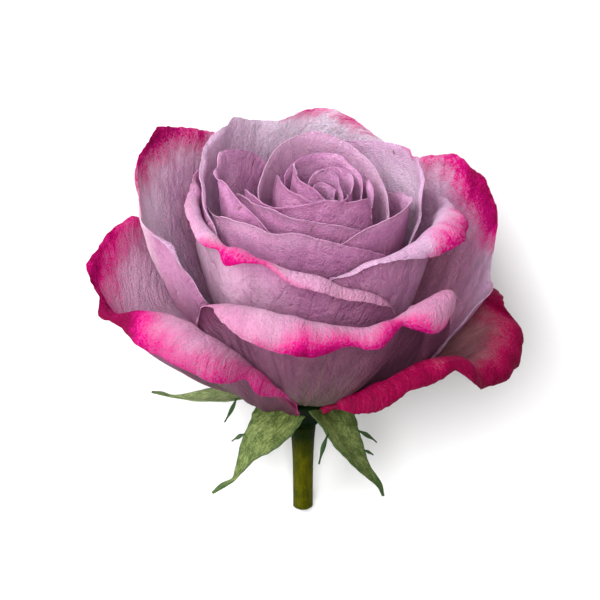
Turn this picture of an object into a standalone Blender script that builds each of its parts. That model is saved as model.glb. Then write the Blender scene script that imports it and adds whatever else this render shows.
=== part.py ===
"""A cut rose with a short stem, lying on a table.

The flower is laid out upright first: its base is the origin, it grows along +Z, its front is -Y and its
back +Y.  Every petal is a thin cup between a foot on the hip and a rim with a rolled margin.  The petals
are settled one after another, each pushed outward until it clears the ones inside it.  At the end the
whole flower is laid down on its back petals and the end of its stem.
"""
import math

import bmesh
import bpy
import numpy as np
from mathutils import Matrix, Vector
from mathutils.bvhtree import BVHTree

for thing in list(bpy.data.objects):
    bpy.data.objects.remove(thing)

# Driving dimensions, in millimetres and degrees
MM = 0.001
STEM_LENGTH = 23.5
STEM_TOP_RADIUS = 2.8
STEM_END_RADIUS = 2.35
STEM_SIDES = 24
DOME_HEIGHT = 4.0            # the receptacle bulges this far up between the petals
DOME_REACH = 9.5
FOOT_CLEARANCE = 0.55        # from the receptacle to the middle of a petal's foot
FOOT_INNER = 1.5             # radius of the innermost foot
FOOT_SPACING = 0.8           # and from there to each foot that stands outside another
FOOT_MARGIN = 14             # degrees that two feet keep between them in one ring
CLAW_INNER, CLAW_OUTER = 0.35, 0.55      # a foot's width as a share of its petal's, heart and outside
PETAL_THICKNESS = 0.4
PETAL_SPACING = 1.05          # from the middle of one petal to the middle of the next
SEPAL_THICKNESS = 0.5
BLOOM_LEAN = 0.08            # sideways lean of the bloom for each millimetre of height
JOINT_GAP = 0.3              # between the hip and the stem
FIRST_TILT = math.radians(35)        # of the flower's axis above the table, before it is worked out
MOST_SWING = math.radians(8)

# Grids: a petal has rows from its foot to its margin and columns along its rim
COLUMN_WIDTH = 5.0
MOST_COLUMNS, FEWEST_COLUMNS = 15, 7
INNER_PETALS = 14            # these are small and need fewer rows
INNER_ROWS, OUTER_ROWS = 8, 10
CUP_POINTS, MARGIN_POINTS = 33, 25       # of the fine line that a petal's rows are taken from
BEND_SHARE = 0.26            # how much closer the rows stand for each radian of bend
SEPAL_ROWS = 13

# Settling: each pass pushes a petal outward where it comes too near the ones inside it
SETTLE_PASSES = 80
NEAR_ENOUGH = 0.03           # no pass follows a push smaller than this
SEARCH_REACH = 9.0
FACING = 0.15                # cosine above which two petals count as facing the same way
DIRECT, SHARED, SPREAD, SMOOTHING = 0.8, 0.25, 0.6, 0.15

# The hip below the petals, as (radius, height) from the stem upward
HIP_PROFILE = ((3.0, -8.0), (3.5, -6.4), (4.4, -4.5), (5.8, -2.7), (7.3, -1.1), (8.1, 0.1))
DOME_RINGS = (8.2, 6.5, 4.5, 2.5)

# The petals from the heart outward: name, cup in degrees, colour, and the rim.
# A rim point is (azimuth, radius, height, turn, roll): its crest stands at that place, and the margin
# turns outward there through so many degrees round a curve of that radius.  Azimuth 0 is to the right.
MAUVE, LILAC, ROSE = (0.52, 0.25, 0.43), (0.60, 0.32, 0.50), (0.60, 0.12, 0.30)
LEAF_GREEN, HIP_GREEN, STEM_GREEN = (0.16, 0.24, 0.06), (0.10, 0.16, 0.03), (0.12, 0.14, 0.03)
PETALS = (
    ("heart_1", 8, MAUVE, (
        (-25, 2.5, 57, 0, 1), (36, 1.5, 57, 0, 1), (123, 2, 57.5, 0, 1), (212, 2.5, 57, 0, 1),
        (247, 2, 57, 0, 1))),
    ("heart_2", 8, MAUVE, (
        (-46, 3.5, 55.5, 0, 1), (0, 2, 58, 0, 1), (60, 3, 59.5, 5, 1), (113, 3.5, 60, 5, 1),
        (180, 3.5, 58, 0, 1), (210, 3.5, 57.5, 0, 1))),
    ("heart_3", 8, MAUVE, (
        (-107, 5, 56, 0, 1), (-67, 5, 56.5, 0, 1), (-12, 5, 58.5, 10, 2), (34, 5.5, 59.5, 15, 2),
        (80, 5.5, 59.5, 0, 1), (107, 5, 58, 0, 1))),
    ("heart_4", 10, MAUVE, (
        (146, 8.5, 56, 0, 1), (150, 8.3, 61, 5, 1), (159, 7, 60, 5, 1), (172, 6, 59.5, 0, 1),
        (203, 4, 59, 0, 1), (247, 4, 59, 0, 1), (293, 6, 56.5, 0, 1))),
    ("heart_5", 10, MAUVE, (
        (-29, 10.5, 54.5, 0, 2), (-19, 9, 56, 0, 2), (7, 8.5, 58, 20, 3), (51, 8.5, 60, 25, 3),
        (67, 9, 61, 20, 3), (107, 10, 60.5, 15, 3), (142, 10, 59.5, 5, 2), (158, 10, 58, 0, 2))),
    ("heart_6", 12, MAUVE, (
        (165, 12, 51, 0, 2), (166, 12, 55, 0, 2), (170, 11, 59.5, 10, 2), (186, 10, 59.5, 0, 1),
        (228, 9, 59.5, 0, 1), (254, 8.5, 58, 0, 1), (281, 8, 56, 0, 1))),
    ("heart_curl", 12, MAUVE, (
        (-27, 12, 55.5, 0, 1), (-18, 11.5, 58, 40, 1.5), (0, 11, 58, 60, 2), (17, 10.5, 57.5, 45, 2),
        (27, 10, 56, 20, 2), (38, 9.5, 53, 0, 1))),
    ("heart_arch", 12, MAUVE, (
        (-27, 17.5, 51, 0, 2), (-18, 16, 53, 0, 2), (-4, 14.5, 55, 5, 3), (31, 13.5, 58, 5, 3),
        (68, 15.5, 60, 5, 3), (95, 18, 61.5, 5, 3), (120, 17.5, 61, 5, 3), (151, 15.5, 59, 5, 3),
        (188, 15, 56, 0, 3), (203, 15.5, 53.5, 0, 2))),
    ("wrap_1", 14, MAUVE, (
        (-174, 18.5, 56.5, 0, 2), (-165, 19, 60, 0, 2), (-144, 17, 59, 0, 2), (-125, 14.5, 59.5, 0, 2),
        (-92, 12.5, 61.5, 5, 2), (-60, 12, 60, 5, 2), (-38, 12.5, 59, 10, 2), (-32, 13, 55, 0, 2),
        (-30, 14, 49.5, 0, 1))),
    ("wrap_2", 14, MAUVE, (
        (180, 20.5, 54, 0, 2), (190, 20.5, 58, 0, 2), (207, 19.5, 59, 0, 2), (227, 18.5, 60, 5, 2),
        (247, 17, 58.5, 5, 2), (277, 15, 56.5, 5, 2), (305, 15.5, 52, 0, 2), (323, 16.5, 47.5, 0, 2))),
    ("wrap_3", 14, MAUVE, (
        (-90, 17.5, 50.5, 0, 2), (-79, 17.5, 52.5, 5, 2), (-49, 18.5, 57, 20, 3), (-21, 20, 57.5, 25, 3),
        (-11, 20.5, 57.5, 40, 3), (3, 19, 55, 30, 3), (16, 18.5, 53, 10, 3), (34, 17.5, 49.5, 0, 2))),
    ("wrap_4", 14, MAUVE, (
        (127, 19, 52, 0, 2), (137, 20, 57, 0, 2), (156, 22.5, 62.5, 10, 3), (169, 25, 63.5, 15, 2),
        (184, 25.5, 62.5, 35, 2), (202, 24.5, 63, 15, 3), (222, 23, 60, 0, 2), (233, 22, 57, 0, 2),
        (240, 20.5, 52.5, 0, 2))),
    ("wrap_5", 16, MAUVE, (
        (180, 27.5, 53, 0, 2), (197, 27, 55, 15, 2), (208, 26, 57, 25, 2), (222, 25.5, 58.5, 20, 2),
        (237, 24.5, 58, 5, 2), (262, 22, 57.5, 10, 2), (297, 21, 52, 10, 2), (313, 21.5, 48.5, 5, 2),
        (328, 22.5, 43.5, 0, 2))),
    ("wrap_6", 18, LILAC, (
        (-44, 23, 43, 0, 3), (-31, 23, 49, 20, 3), (-10, 23, 56.5, 35, 3), (10, 23, 60.5, 35, 3),
        (28, 23, 62, 20, 3), (46, 22.5, 60, 20, 3), (73, 22.5, 58, 10, 3), (89, 22, 54.5, 0, 3))),
    ("crown", 20, LILAC, (
        (49, 28, 51, 0, 4), (63, 29.5, 55.5, 10, 4), (81, 30.5, 59.5, 20, 4), (97, 31.5, 60.5, 20, 4),
        (115, 31, 59, 5, 4), (135, 31.5, 63.5, 20, 4), (148, 30.5, 63, 40, 4), (168, 30, 62, 55, 4),
        (185, 29.5, 60.5, 55, 4), (202, 29, 56.5, 40, 4), (221, 27.5, 50, 0, 4))),
    ("cup_right", 22, LILAC, (
        (-106, 19.5, 36.5, 0, 1), (-98, 22, 43, 0, 1), (-91, 24, 48.5, 30, 1), (-82, 25.5, 52, 80, 2),
        (-60, 28, 53.5, 125, 2.5), (-35, 29.5, 53.5, 135, 4), (-12, 31, 54, 110, 4.5),
        (10, 28.5, 52, 40, 4), (24, 27, 50, 20, 4), (39, 27, 46.5, 0, 3))),
    ("cup_left", 22, LILAC, (
        (154, 27, 55, 0, 3), (178, 27.5, 56.5, 90, 5), (202, 29, 55.5, 120, 5),
        (213, 29.5, 55, 125, 3.8), (226, 30, 54, 125, 3), (239, 30, 53.5, 115, 2.5),
        (264, 29, 50.5, 120, 2.5), (287, 29.5, 45.5, 105, 2), (304, 29.5, 40.5, 85, 1.6),
        (318, 28.5, 29.5, 0, 1.5))),
    ("back", 24, ROSE, (
        (34, 29, 28, 10, 3), (50, 34, 43, 50, 3), (72, 37, 50, 110, 4), (90, 37.5, 51, 125, 4),
        (108, 37, 50, 110, 4), (130, 34, 43, 50, 3), (146, 29, 28, 10, 3))),
    ("upper_right", 24, ROSE, (
        (-22, 29.5, 15.5, 0, 3), (-15, 35, 24.5, 5, 3), (-6, 41.5, 31.5, 15, 3), (1, 42, 39.5, 20, 3),
        (9, 42.5, 45.5, 20, 4), (19, 41, 50.5, 30, 4), (32, 38, 54.5, 30, 4), (48, 36.5, 49.5, 20, 4),
        (60, 37, 41, 0, 4))),
    ("upper_left", 24, ROSE, (
        (122, 36.5, 49, 0, 4), (143, 41.5, 59.5, 20, 4), (156, 45, 63.5, 30, 4), (169, 46, 61, 35, 4),
        (184, 43.5, 51.5, 40, 4), (198, 39.5, 50, 60, 3), (206, 38.5, 50.5, 50, 2), (215, 34.5, 41.5, 15, 2),
        (220, 28, 30.5, 0, 2))),
    ("front", 28, ROSE, (
        (-148, 30.5, 23.5, 0, 2), (-140, 36, 38, 40, 2), (-126, 37, 43, 120, 4), (-109, 38, 44.5, 145, 5.5),
        (-89, 37.5, 42.5, 155, 5), (-74, 37.5, 41, 135, 4), (-62, 37, 41.5, 135, 3),
        (-43, 36.5, 44.5, 155, 4.5), (-35, 37, 43.5, 115, 3), (-30, 37, 34, 20, 2),
        (-28, 33, 22, 0, 2))),
    ("guard_left", 24, ROSE, (
        (92, 34, 22, 10, 3), (99, 43, 32, 80, 4), (109, 46, 35, 130, 5), (123, 46, 35, 130, 5),
        (135, 43, 32, 80, 4), (144, 34, 22, 10, 3))),
    ("guard_right", 24, ROSE, (
        (36, 34, 22, 10, 3), (45, 43, 32, 80, 4), (57, 46, 35, 130, 5), (71, 46, 35, 130, 5),
        (81, 43, 32, 80, 4), (88, 34, 22, 10, 3))),
    ("lower_right", 8, ROSE, (
        (-66, 13, 3, 20, 1), (-57, 26, 15.5, 110, 2), (-46, 36, 24.5, 130, 3), (-41, 39.5, 26.5, 130, 3),
        (-33, 41, 24, 105, 3), (-26, 39.5, 19.5, 110, 6), (-18, 42, 18.5, 115, 6.5), (-10, 45, 20, 105, 6),
        (-3, 45.5, 22.5, 85, 5.5), (8, 43, 24.5, 45, 4.5), (22, 38, 21, 0, 3))),
    ("lower_left", 22, ROSE, (
        (152, 38, 28, 0, 3), (161, 44.5, 39.5, 15, 4), (174, 51.5, 41.5, 30, 4),
        (185, 55.5, 37.5, 35, 4), (191, 54, 35, 45, 4), (199, 51.5, 32.5, 60, 4.5), (206, 47, 35.5, 135, 5),
        (216, 43, 36.5, 155, 6.5),
        (233, 38, 32.5, 155, 5.5), (250, 25, 18.5, 110, 2), (263, 13, 3, 20, 1))),
)

# The sepals: name, then points (azimuth, radius, height, half width) from the foot to the tip, and the
# side lobes (which side, which row of the blade, length, droop).
SEPALS = (
    ("front_left", (
        (-123, 8.3, -1.0, 5.0), (-128, 12.8, -4.0, 5.3), (-132, 16.4, -8.5, 3.2), (-137, 19.8, -13.2, 1.3),
        (-140, 22.1, -15.3, 0.6), (-143, 24.5, -16.8, 0.8), (-145, 26.9, -18.4, 0.3)),
        ((-1, 2, 4.4, 0.6),)),
    ("front_right", (
        (-48, 8.3, -1.0, 4.6), (-50, 13.3, -4.0, 4.4), (-46, 16.7, -8.5, 3.2), (-42, 20.2, -12.6, 2.0),
        (-39, 23.3, -15.8, 0.9), (-38, 25.5, -18.5, 0.3)), ((1, 2, 4.8, 0.5), (-1, 2, 4.6, 2.2))),
    ("left", (
        (176, 8.3, -1.0, 2.4), (176, 14, -1.2, 3.4), (175, 20, -1.8, 3.3), (175, 25, -2.3, 2.5),
        (174, 29.3, -2.9, 1.0), (174, 32, -2.8, 0.5), (173, 34.5, -2.6, 0.7), (173, 36.9, -2.3, 0.3)),
        ((1, 1, 4.2, 1.6),)),
    ("right", (
        (33, 8.3, -1.0, 3.0), (34, 14.0, -1.6, 4.4), (35, 19.0, -2.4, 3.6), (36, 24.0, -2.8, 2.3),
        (37, 28.0, -2.6, 0.9), (38, 31.0, -2.0, 0.3)), ((1, 3, 3.5, 0.3), (-1, 4, 3.0, 0.3))),
    ("back", (
        (108, 8.3, -1.0, 3.0), (108, 12.0, -0.8, 4.4), (107, 16.0, 0.2, 3.6), (106, 19.5, 1.8, 2.3),
        (105, 22.5, 3.6, 0.9), (104, 24.5, 5.0, 0.3)), ((-1, 4, 3.0, 0.2),)),
)


def material(name, colour, roughness):
    """Return a plain Principled material."""
    made = bpy.data.materials.new(name)
    made.use_nodes = True
    shader = made.node_tree.nodes["Principled BSDF"]
    shader.inputs["Base Color"].default_value = (*colour, 1)
    shader.inputs["Roughness"].default_value = roughness
    return made


def place(azimuth, radius, height, lean=BLOOM_LEAN):
    """Turn azimuth in radians, radius and height into a point of the upright flower."""
    height = height + 0 * azimuth
    return np.stack([radius * np.cos(azimuth) + lean * height, radius * np.sin(azimuth), height], -1)


def rim_curve(points, count):
    """Run a Catmull-Rom curve through the rim and return evenly spaced rows of it, and its length."""
    p = np.array(points, float)
    p = np.vstack([2 * p[0] - p[1], p, 2 * p[-1] - p[-2]])
    t = np.linspace(0, 1, 24, endpoint=False)[:, None]
    parts = []
    for a, b, c, d in zip(p, p[1:], p[2:], p[3:]):
        parts.append(0.5 * (2 * b + (c - a) * t + (2 * a - 5 * b + 4 * c - d) * t ** 2
                            + (3 * b - a - 3 * c + d) * t ** 3))
    fine = np.vstack(parts + [p[-2:-1]])
    track = place(np.radians(fine[:, 0]), fine[:, 1], fine[:, 2], 0)
    run = np.r_[0, np.cumsum(np.linalg.norm(np.diff(track, axis=0), axis=1))]
    at = np.linspace(0, run[-1], count)
    return np.stack([np.interp(at, run, column) for column in fine.T], 1), run[-1]


def petal_section(foot, crest, turn, roll, cup, rows):
    """Return radius and height from the foot, up the cup, over the crest and round the rolled margin."""
    foot, crest = np.array(foot), np.array(crest)
    turn = math.radians(max(turn, 0.5))
    roll = max(0.4, min(roll, 0.3 * math.dist(foot, crest)))
    neck = crest
    for _ in range(8):
        slope = math.atan2(*(neck - foot)[::-1])
        span = math.dist(foot, neck)
        bend = math.radians(cup) * min(1.0, span / 30)
        rise = slope + bend
        up = min(turn, max(rise, 0.0))
        neck = crest - roll * np.array([math.sin(rise) - math.sin(rise - up),
                                        math.cos(rise - up) - math.cos(rise)])
    reach = span / 3 / max(math.cos(0.6 * bend), 0.5)
    start = foot + reach * np.array([math.cos(slope - bend), math.sin(slope - bend)])
    end = neck - reach * np.array([math.cos(rise), math.sin(rise)])
    t = np.linspace(0, 1, CUP_POINTS)[:, None]
    cup_line = (1 - t) ** 3 * foot + 3 * t * (1 - t) ** 2 * start + 3 * t ** 2 * (1 - t) * end + t ** 3 * neck
    angle = rise - np.linspace(0, turn, MARGIN_POINTS)[1:]
    margin = neck + roll * np.stack([math.sin(rise) - np.sin(angle), np.cos(angle) - math.cos(rise)], 1)
    line = np.vstack([cup_line, margin])
    # the rows crowd together where the line bends
    step = np.diff(line, axis=0)
    length = np.hypot(*step.T)
    heading = np.unwrap(np.arctan2(step[:, 1], step[:, 0]))
    weight = length / length.sum() + BEND_SHARE * np.abs(np.diff(heading, prepend=heading[0]))
    run = np.r_[0, np.cumsum(weight)]
    at = np.linspace(0, run[-1], rows)
    return np.interp(at, run, line[:, 0]), np.interp(at, run, line[:, 1])


def dome_height(radius):
    """Return the height of the receptacle's dome at a radius."""
    return DOME_HEIGHT * (1 - (radius / DOME_REACH) ** 2)


def petal_grid(rim, cup, foot_radius, claw, columns, rows):
    """Return rows x columns points of a petal's middle surface, before it is settled."""
    curve, _ = rim_curve(rim, columns)
    middle = (curve[0, 0] + curve[-1, 0]) / 2
    # the petal narrows to a claw at its foot
    width = claw + (1 - claw) * np.clip(np.linspace(0, 2, rows), 0, 1) ** 0.8
    grid = np.zeros((rows, columns, 3))
    foot = (foot_radius, dome_height(foot_radius) + FOOT_CLEARANCE)
    for c, (azimuth, radius, height, turn, roll) in enumerate(curve):
        r, z = petal_section(foot, (radius, height), turn, roll, cup, rows)
        grid[:, c] = place(np.radians(middle + (azimuth - middle) * width), r, z)
    return grid


def grid_faces(rows, columns, first=0):
    """Return the quads of a grid whose points are numbered row by row."""
    corner = first + np.arange(rows - 1)[:, None] * columns + np.arange(columns - 1)
    return [(i, i + 1, i + columns + 1, i + columns) for i in corner.ravel().tolist()]


def with_midpoints(count):
    """Return the weights that turn so many points into the points and the midpoints between them."""
    weights = np.zeros((2 * count - 1, count))
    for i in range(2 * count - 1):
        weights[i, i // 2] += 0.5
        weights[i, (i + 1) // 2] += 0.5
    return weights


def blurred(field):
    """Return each value of a grid averaged with its four neighbours."""
    pad = np.pad(field, ((1, 1), (1, 1), (0, 0)), mode="edge")
    return (pad[:-2, 1:-1] + pad[2:, 1:-1] + pad[1:-1, :-2] + pad[1:-1, 2:] + 2 * field) / 6


def settle(grid, inner):
    """Push a petal outward until it clears the petals inside it."""
    points, faces = [], []
    for other in inner:
        faces += grid_faces(*other.shape[:2], len(points))
        points += [Vector(p) for p in other.reshape(-1, 3)]
    tree = BVHTree.FromPolygons(points, faces)
    along, across = with_midpoints(grid.shape[0]), with_midpoints(grid.shape[1])
    moved = np.zeros_like(grid)
    for _ in range(SETTLE_PASSES):
        fine = np.einsum("ij,jkc,lk->ilc", along, grid + moved, across)
        normal = np.cross(np.gradient(fine, axis=1), np.gradient(fine, axis=0))
        push = np.zeros_like(fine)
        for r, c in np.ndindex(fine.shape[:2]):
            point = Vector(fine[r, c])
            near, outward, _, distance = tree.find_nearest(point, SEARCH_REACH)
            if near is None or distance < 1e-6:
                continue
            away = point - near
            side = away.dot(outward)
            facing = outward.dot(Vector(normal[r, c]).normalized()) > FACING
            if facing and abs(side) > 0.6 * distance:
                move = outward * max(PETAL_SPACING - side, 0)
            else:
                move = away.normalized() * max(PETAL_SPACING - distance, 0)
            push[r, c] = move
        size = np.linalg.norm(push, axis=2)
        if size.max() < NEAR_ENOUGH:
            break
        hits = np.einsum("ij,il,lk->jk", along, (size > 0).astype(float), across)[..., None]
        step = np.einsum("ij,ilc,lk->jkc", along, push, across) / np.maximum(hits, 1)
        # the neighbours share the push, so that the petal bulges rather than dents
        soft = step
        for _ in range(2):
            soft = blurred(soft)
        moved += np.where(hits > 0, DIRECT * step + SHARED * soft, SPREAD * soft)
        moved += SMOOTHING * (blurred(moved) - moved)
        moved[0] = 0
    return grid + moved


def petal_feet():
    """Return each petal's foot radius and claw: feet that would meet stand one outside the other."""
    feet = []
    for i, (_, _, _, rim) in enumerate(PETALS):
        claw = CLAW_INNER + (CLAW_OUTER - CLAW_INNER) * i / (len(PETALS) - 1)
        middle, half = (rim[0][0] + rim[-1][0]) / 2, abs(rim[-1][0] - rim[0][0]) / 2 * claw
        radius = FOOT_INNER
        for other_radius, _, other_middle, other_half in feet:
            apart = abs((middle - other_middle + 180) % 360 - 180)
            if apart < half + other_half + FOOT_MARGIN:
                radius = max(radius, other_radius + FOOT_SPACING)
        feet.append((radius, claw, middle, half))
    return [foot[:2] for foot in feet]


def settled_petals():
    """Return every petal's middle surface, from the heart outward."""
    done = []
    for i, ((_, cup, _, rim), (foot_radius, claw)) in enumerate(zip(PETALS, petal_feet())):
        _, length = rim_curve(rim, 2)
        columns = min(MOST_COLUMNS, max(FEWEST_COLUMNS, round(length / COLUMN_WIDTH)))
        rows = INNER_ROWS if i < INNER_PETALS else OUTER_ROWS
        grid = petal_grid(rim, cup, foot_radius, claw, columns, rows)
        done.append(settle(grid, done) if done else grid)
    return done


def new_object(name, mesh, slot):
    """Put a mesh in the scene as an object with one material."""
    mesh.materials.append(slot)
    mesh.shade_smooth()
    made = bpy.data.objects.new(name, mesh)
    bpy.context.scene.collection.objects.link(made)
    return made


def thick_sheet(name, points, faces, thickness, slot):
    """Make an open surface of quads, in millimetres, and give it a thickness, half to each side."""
    points = np.array(points)
    halves = []
    for a, b, c, d in faces:
        # split along the shorter diagonal, so that both sides bend alike
        if math.dist(points[a], points[c]) < math.dist(points[b], points[d]):
            halves += [(a, b, c), (a, c, d)]
        else:
            halves += [(a, b, d), (b, c, d)]
    mesh = bpy.data.meshes.new(name)
    mesh.from_pydata((points * MM).tolist(), [], halves)
    made = new_object(name, mesh, slot)
    solid = made.modifiers.new("thickness", "SOLIDIFY")
    solid.thickness = thickness * MM
    solid.offset = 0
    return made


def turned(name, line, slot):
    """Spin a line of (radius, height) points, in millimetres, which starts and ends on the axis."""
    shape = bmesh.new()
    points = [shape.verts.new((radius * MM, 0, height * MM)) for radius, height in line]
    edges = [shape.edges.new(pair) for pair in zip(points, points[1:])]
    bmesh.ops.spin(shape, geom=points + edges, axis=(0, 0, 1), cent=(0, 0, 0), angle=2 * math.pi,
                   steps=STEM_SIDES, use_merge=True)
    bmesh.ops.remove_doubles(shape, verts=shape.verts, dist=0.001 * MM)
    bmesh.ops.recalc_face_normals(shape, faces=shape.faces)
    mesh = bpy.data.meshes.new(name)
    shape.to_mesh(mesh)
    shape.free()
    return new_object(name, mesh, slot)


def sepal(name, path, lobes, slot):
    """Make a sepal: a blade folded a little along its midrib, with small side lobes."""
    path = np.array(path, float)
    at = np.linspace(0, len(path) - 1, SEPAL_ROWS)
    azimuth, radius, height, half = (np.interp(at, np.arange(len(path)), column) for column in path.T)
    spine = place(np.radians(azimuth), radius, height, 0)
    forward = np.gradient(spine, axis=0)
    forward /= np.linalg.norm(forward, axis=1, keepdims=True)
    sideways = np.stack([-np.sin(np.radians(azimuth)), np.cos(np.radians(azimuth)), 0 * azimuth], 1)
    sideways -= forward * (sideways * forward).sum(1, keepdims=True)
    sideways /= np.linalg.norm(sideways, axis=1, keepdims=True)
    upward = np.cross(forward, sideways)
    points = []
    for across in (-1, -0.5, 0, 0.5, 1):
        points.append(spine + (across * half)[:, None] * sideways + (0.25 * abs(across) * half)[:, None] * upward)
    points = np.stack(points, 1).reshape(-1, 3)
    faces = [face[::-1] for face in grid_faces(SEPAL_ROWS, 5)]
    points = list(points)
    for side, row, length, droop in lobes:
        column = 4 if side > 0 else 0
        near, far = row * 5 + column, (row + 1) * 5 + column
        reach = side * sideways[row] + 0.9 * forward[row] - droop * upward[row]
        reach *= length / np.linalg.norm(reach)
        middle, half_base = (points[near] + points[far]) / 2, (points[far] - points[near]) / 2
        for step, width in ((0.35, 0.7), (0.7, 0.5), (1.0, 0.12)):
            first = len(points)
            points += [middle + reach * step - half_base * width, middle + reach * step + half_base * width]
            quad = (near, far, first + 1, first)
            faces.append(quad if side > 0 else quad[::-1])
            near, far = first, first + 1
    return thick_sheet(name, points, faces, SEPAL_THICKNESS, slot)


def solid_points(thing):
    """Return the points of an object with its modifiers, in its own space."""
    shape = thing.evaluated_get(bpy.context.evaluated_depsgraph_get()).to_mesh()
    return np.array([point.co[:] for point in shape.vertices])


def root_of(misses, low, high):
    """Halve the range until it closes on the value where misses changes from above zero to below."""
    for _ in range(40):
        middle = (low + high) / 2
        low, high = (middle, high) if misses(middle) > 0 else (low, middle)
    return middle


def lay_down(objects, stem):
    """Lay the flower on its back, on the end of its stem and on its back petals, left and right.

    All objects hang on one empty.  It puts the middle of the underside of their box at the origin.
    """
    bloom = np.vstack([solid_points(thing) for thing in objects if thing is not stem])
    left, right = bloom[bloom[:, 0] < 0], bloom[bloom[:, 0] > 0]
    end = solid_points(stem)

    def pose(tilt, swing):
        return Matrix.Rotation(swing, 3, "Y") @ Matrix.Rotation(tilt - math.pi / 2, 3, "X")

    def lowest(points, tilt, swing):
        return (points @ np.array(pose(tilt, swing)[2])).min()

    tilt, swing = FIRST_TILT, 0.0
    for _ in range(8):
        tilt = root_of(lambda a: lowest(end, a, swing) - lowest(bloom, a, swing),
                       FIRST_TILT / 2, FIRST_TILT * 2)
        swing = root_of(lambda a: lowest(right, tilt, a) - lowest(left, tilt, a), -MOST_SWING, MOST_SWING)
    turn = pose(tilt, swing)
    laid = np.vstack([bloom, end]) @ np.array(turn).T
    low, high = laid.min(0), laid.max(0)
    rest = bpy.data.objects.new("laid_down", None)
    bpy.context.scene.collection.objects.link(rest)
    rest.rotation_euler = turn.to_euler()
    rest.location = (-(low[0] + high[0]) / 2, -(low[1] + high[1]) / 2, -low[2])
    for thing in objects:
        thing.parent = rest


petal_parts = []
for (name, _, colour, _), grid in zip(PETALS, settled_petals()):
    slot = material("petal_" + name, colour, 0.6)
    faces = [face[::-1] for face in grid_faces(*grid.shape[:2])]
    petal_parts.append(thick_sheet("petal_" + name, grid.reshape(-1, 3), faces, PETAL_THICKNESS, slot))

sepal_parts = []
for name, path, lobes in SEPALS:
    sepal_parts.append(sepal("sepal_" + name, path, lobes, material("sepal_" + name, LEAF_GREEN, 0.6)))

hip_bottom = HIP_PROFILE[0][1]
hip_line = [(0, hip_bottom), *HIP_PROFILE, *((r, dome_height(r)) for r in DOME_RINGS), (0, DOME_HEIGHT)]
hip = turned("hip", hip_line, material("hip", HIP_GREEN, 0.55))

stem_top = hip_bottom - JOINT_GAP
stem_end = stem_top - STEM_LENGTH
stem_line = [(0, stem_end), (STEM_END_RADIUS, stem_end), (STEM_TOP_RADIUS, stem_top), (0, stem_top)]
stem = turned("stem", stem_line, material("stem", STEM_GREEN, 0.5))

lay_down(petal_parts + sepal_parts + [hip, stem], stem)
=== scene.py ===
import math

import bpy
import numpy as np
from mathutils import Matrix, Vector
from mathutils.bvhtree import BVHTree


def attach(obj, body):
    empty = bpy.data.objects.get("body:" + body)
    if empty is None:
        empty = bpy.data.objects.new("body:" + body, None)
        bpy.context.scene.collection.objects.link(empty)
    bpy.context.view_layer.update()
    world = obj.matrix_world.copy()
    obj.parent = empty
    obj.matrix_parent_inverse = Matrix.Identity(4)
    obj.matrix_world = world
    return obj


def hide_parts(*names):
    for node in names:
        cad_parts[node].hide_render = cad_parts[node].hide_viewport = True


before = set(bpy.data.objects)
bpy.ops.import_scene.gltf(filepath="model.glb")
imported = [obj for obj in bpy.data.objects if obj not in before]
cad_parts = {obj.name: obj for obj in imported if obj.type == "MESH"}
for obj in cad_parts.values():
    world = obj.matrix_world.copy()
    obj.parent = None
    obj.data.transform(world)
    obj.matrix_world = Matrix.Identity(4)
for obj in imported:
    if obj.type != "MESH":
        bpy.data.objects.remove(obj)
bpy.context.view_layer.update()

# The flower is built upright, in millimetres: the base of the bloom is the origin, it grows along
# +Z and its front is -Y.  Then it is laid down where the CAD petals are.
MM = 0.001
DOME_HEIGHT = 4.0  # the receptacle bulges this far up between the petals
DOME_REACH = 9.5
FOOT_CLEARANCE = 0.55  # from the receptacle to the middle of a petal's foot
FOOT_INNER = 1.5  # radius of the innermost foot
FOOT_SPACING = 0.8  # and from there to each foot that stands outside another
FOOT_MARGIN = 14  # degrees that two feet keep between them in one ring
CLAW_INNER, CLAW_OUTER = 0.35, 0.55  # a foot's share of its petal's width, heart and outside
CLAW_CURVE = 0.8
PETAL_SPACING = 1.05  # from the middle of one petal to the middle of the next
BLOOM_LEAN = 0.08  # sideways lean of the bloom for each millimetre of height

# Grids: a petal has rows from its foot to its margin and columns along its rim
COLUMN_WIDTH = 5.0
MOST_COLUMNS, FEWEST_COLUMNS = 15, 7
INNER_PETALS = 14  # these are small and need fewer rows
INNER_ROWS, OUTER_ROWS = 8, 10
FINE_ROWS, FINE_COLUMNS = 61, 91  # of the grid that shows
MARGIN_CROWD = 1.4  # above 1, more of the fine rows stand near the margin
CURVE_STEPS = 24  # of a rim's curve between two of its points
CUP_POINTS, MARGIN_POINTS = 33, 25  # of the fine line that a petal's rows are taken from
NECK_PASSES = 8  # to find where the rolled margin leaves the cup
LEAST_TURN = 0.5  # degrees
LEAST_ROLL, ROLL_SHARE = 0.4, 0.3  # a roll is no tighter, and no more of the petal's height
FULL_CUP_SPAN = 30  # a petal that is lower than this cups less
BEND_SHARE = 0.26  # how much closer the rows stand for each radian of bend

# Settling: each pass pushes a petal outward where it comes too near the ones inside it
SETTLE_PASSES = 80
NEAR_ENOUGH = 0.03  # no pass follows a push smaller than this
SEARCH_REACH = 9.0
FACING = 0.15  # cosine above which two petals count as facing the same way
SQUARE_ON = 0.6  # cosine above which one petal counts as standing over the other
DIRECT, SHARED, SPREAD, SMOOTHING = 0.8, 0.25, 0.6, 0.15

# Petal shells
EDGE_THICKNESS, BODY_THICKNESS = 0.2, 0.36
EDGE_WIDTH = 4.0  # from the margin to where a petal has its full thickness
THICKNESS_LEVELS = 10
PETAL_SEED, SEPAL_SEED = 300, 500
HEART_PETALS = 8
HEART_RUFFLE, WRAP_RUFFLE, OUTER_RUFFLE = 0.35, 0.55, 1.0

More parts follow.
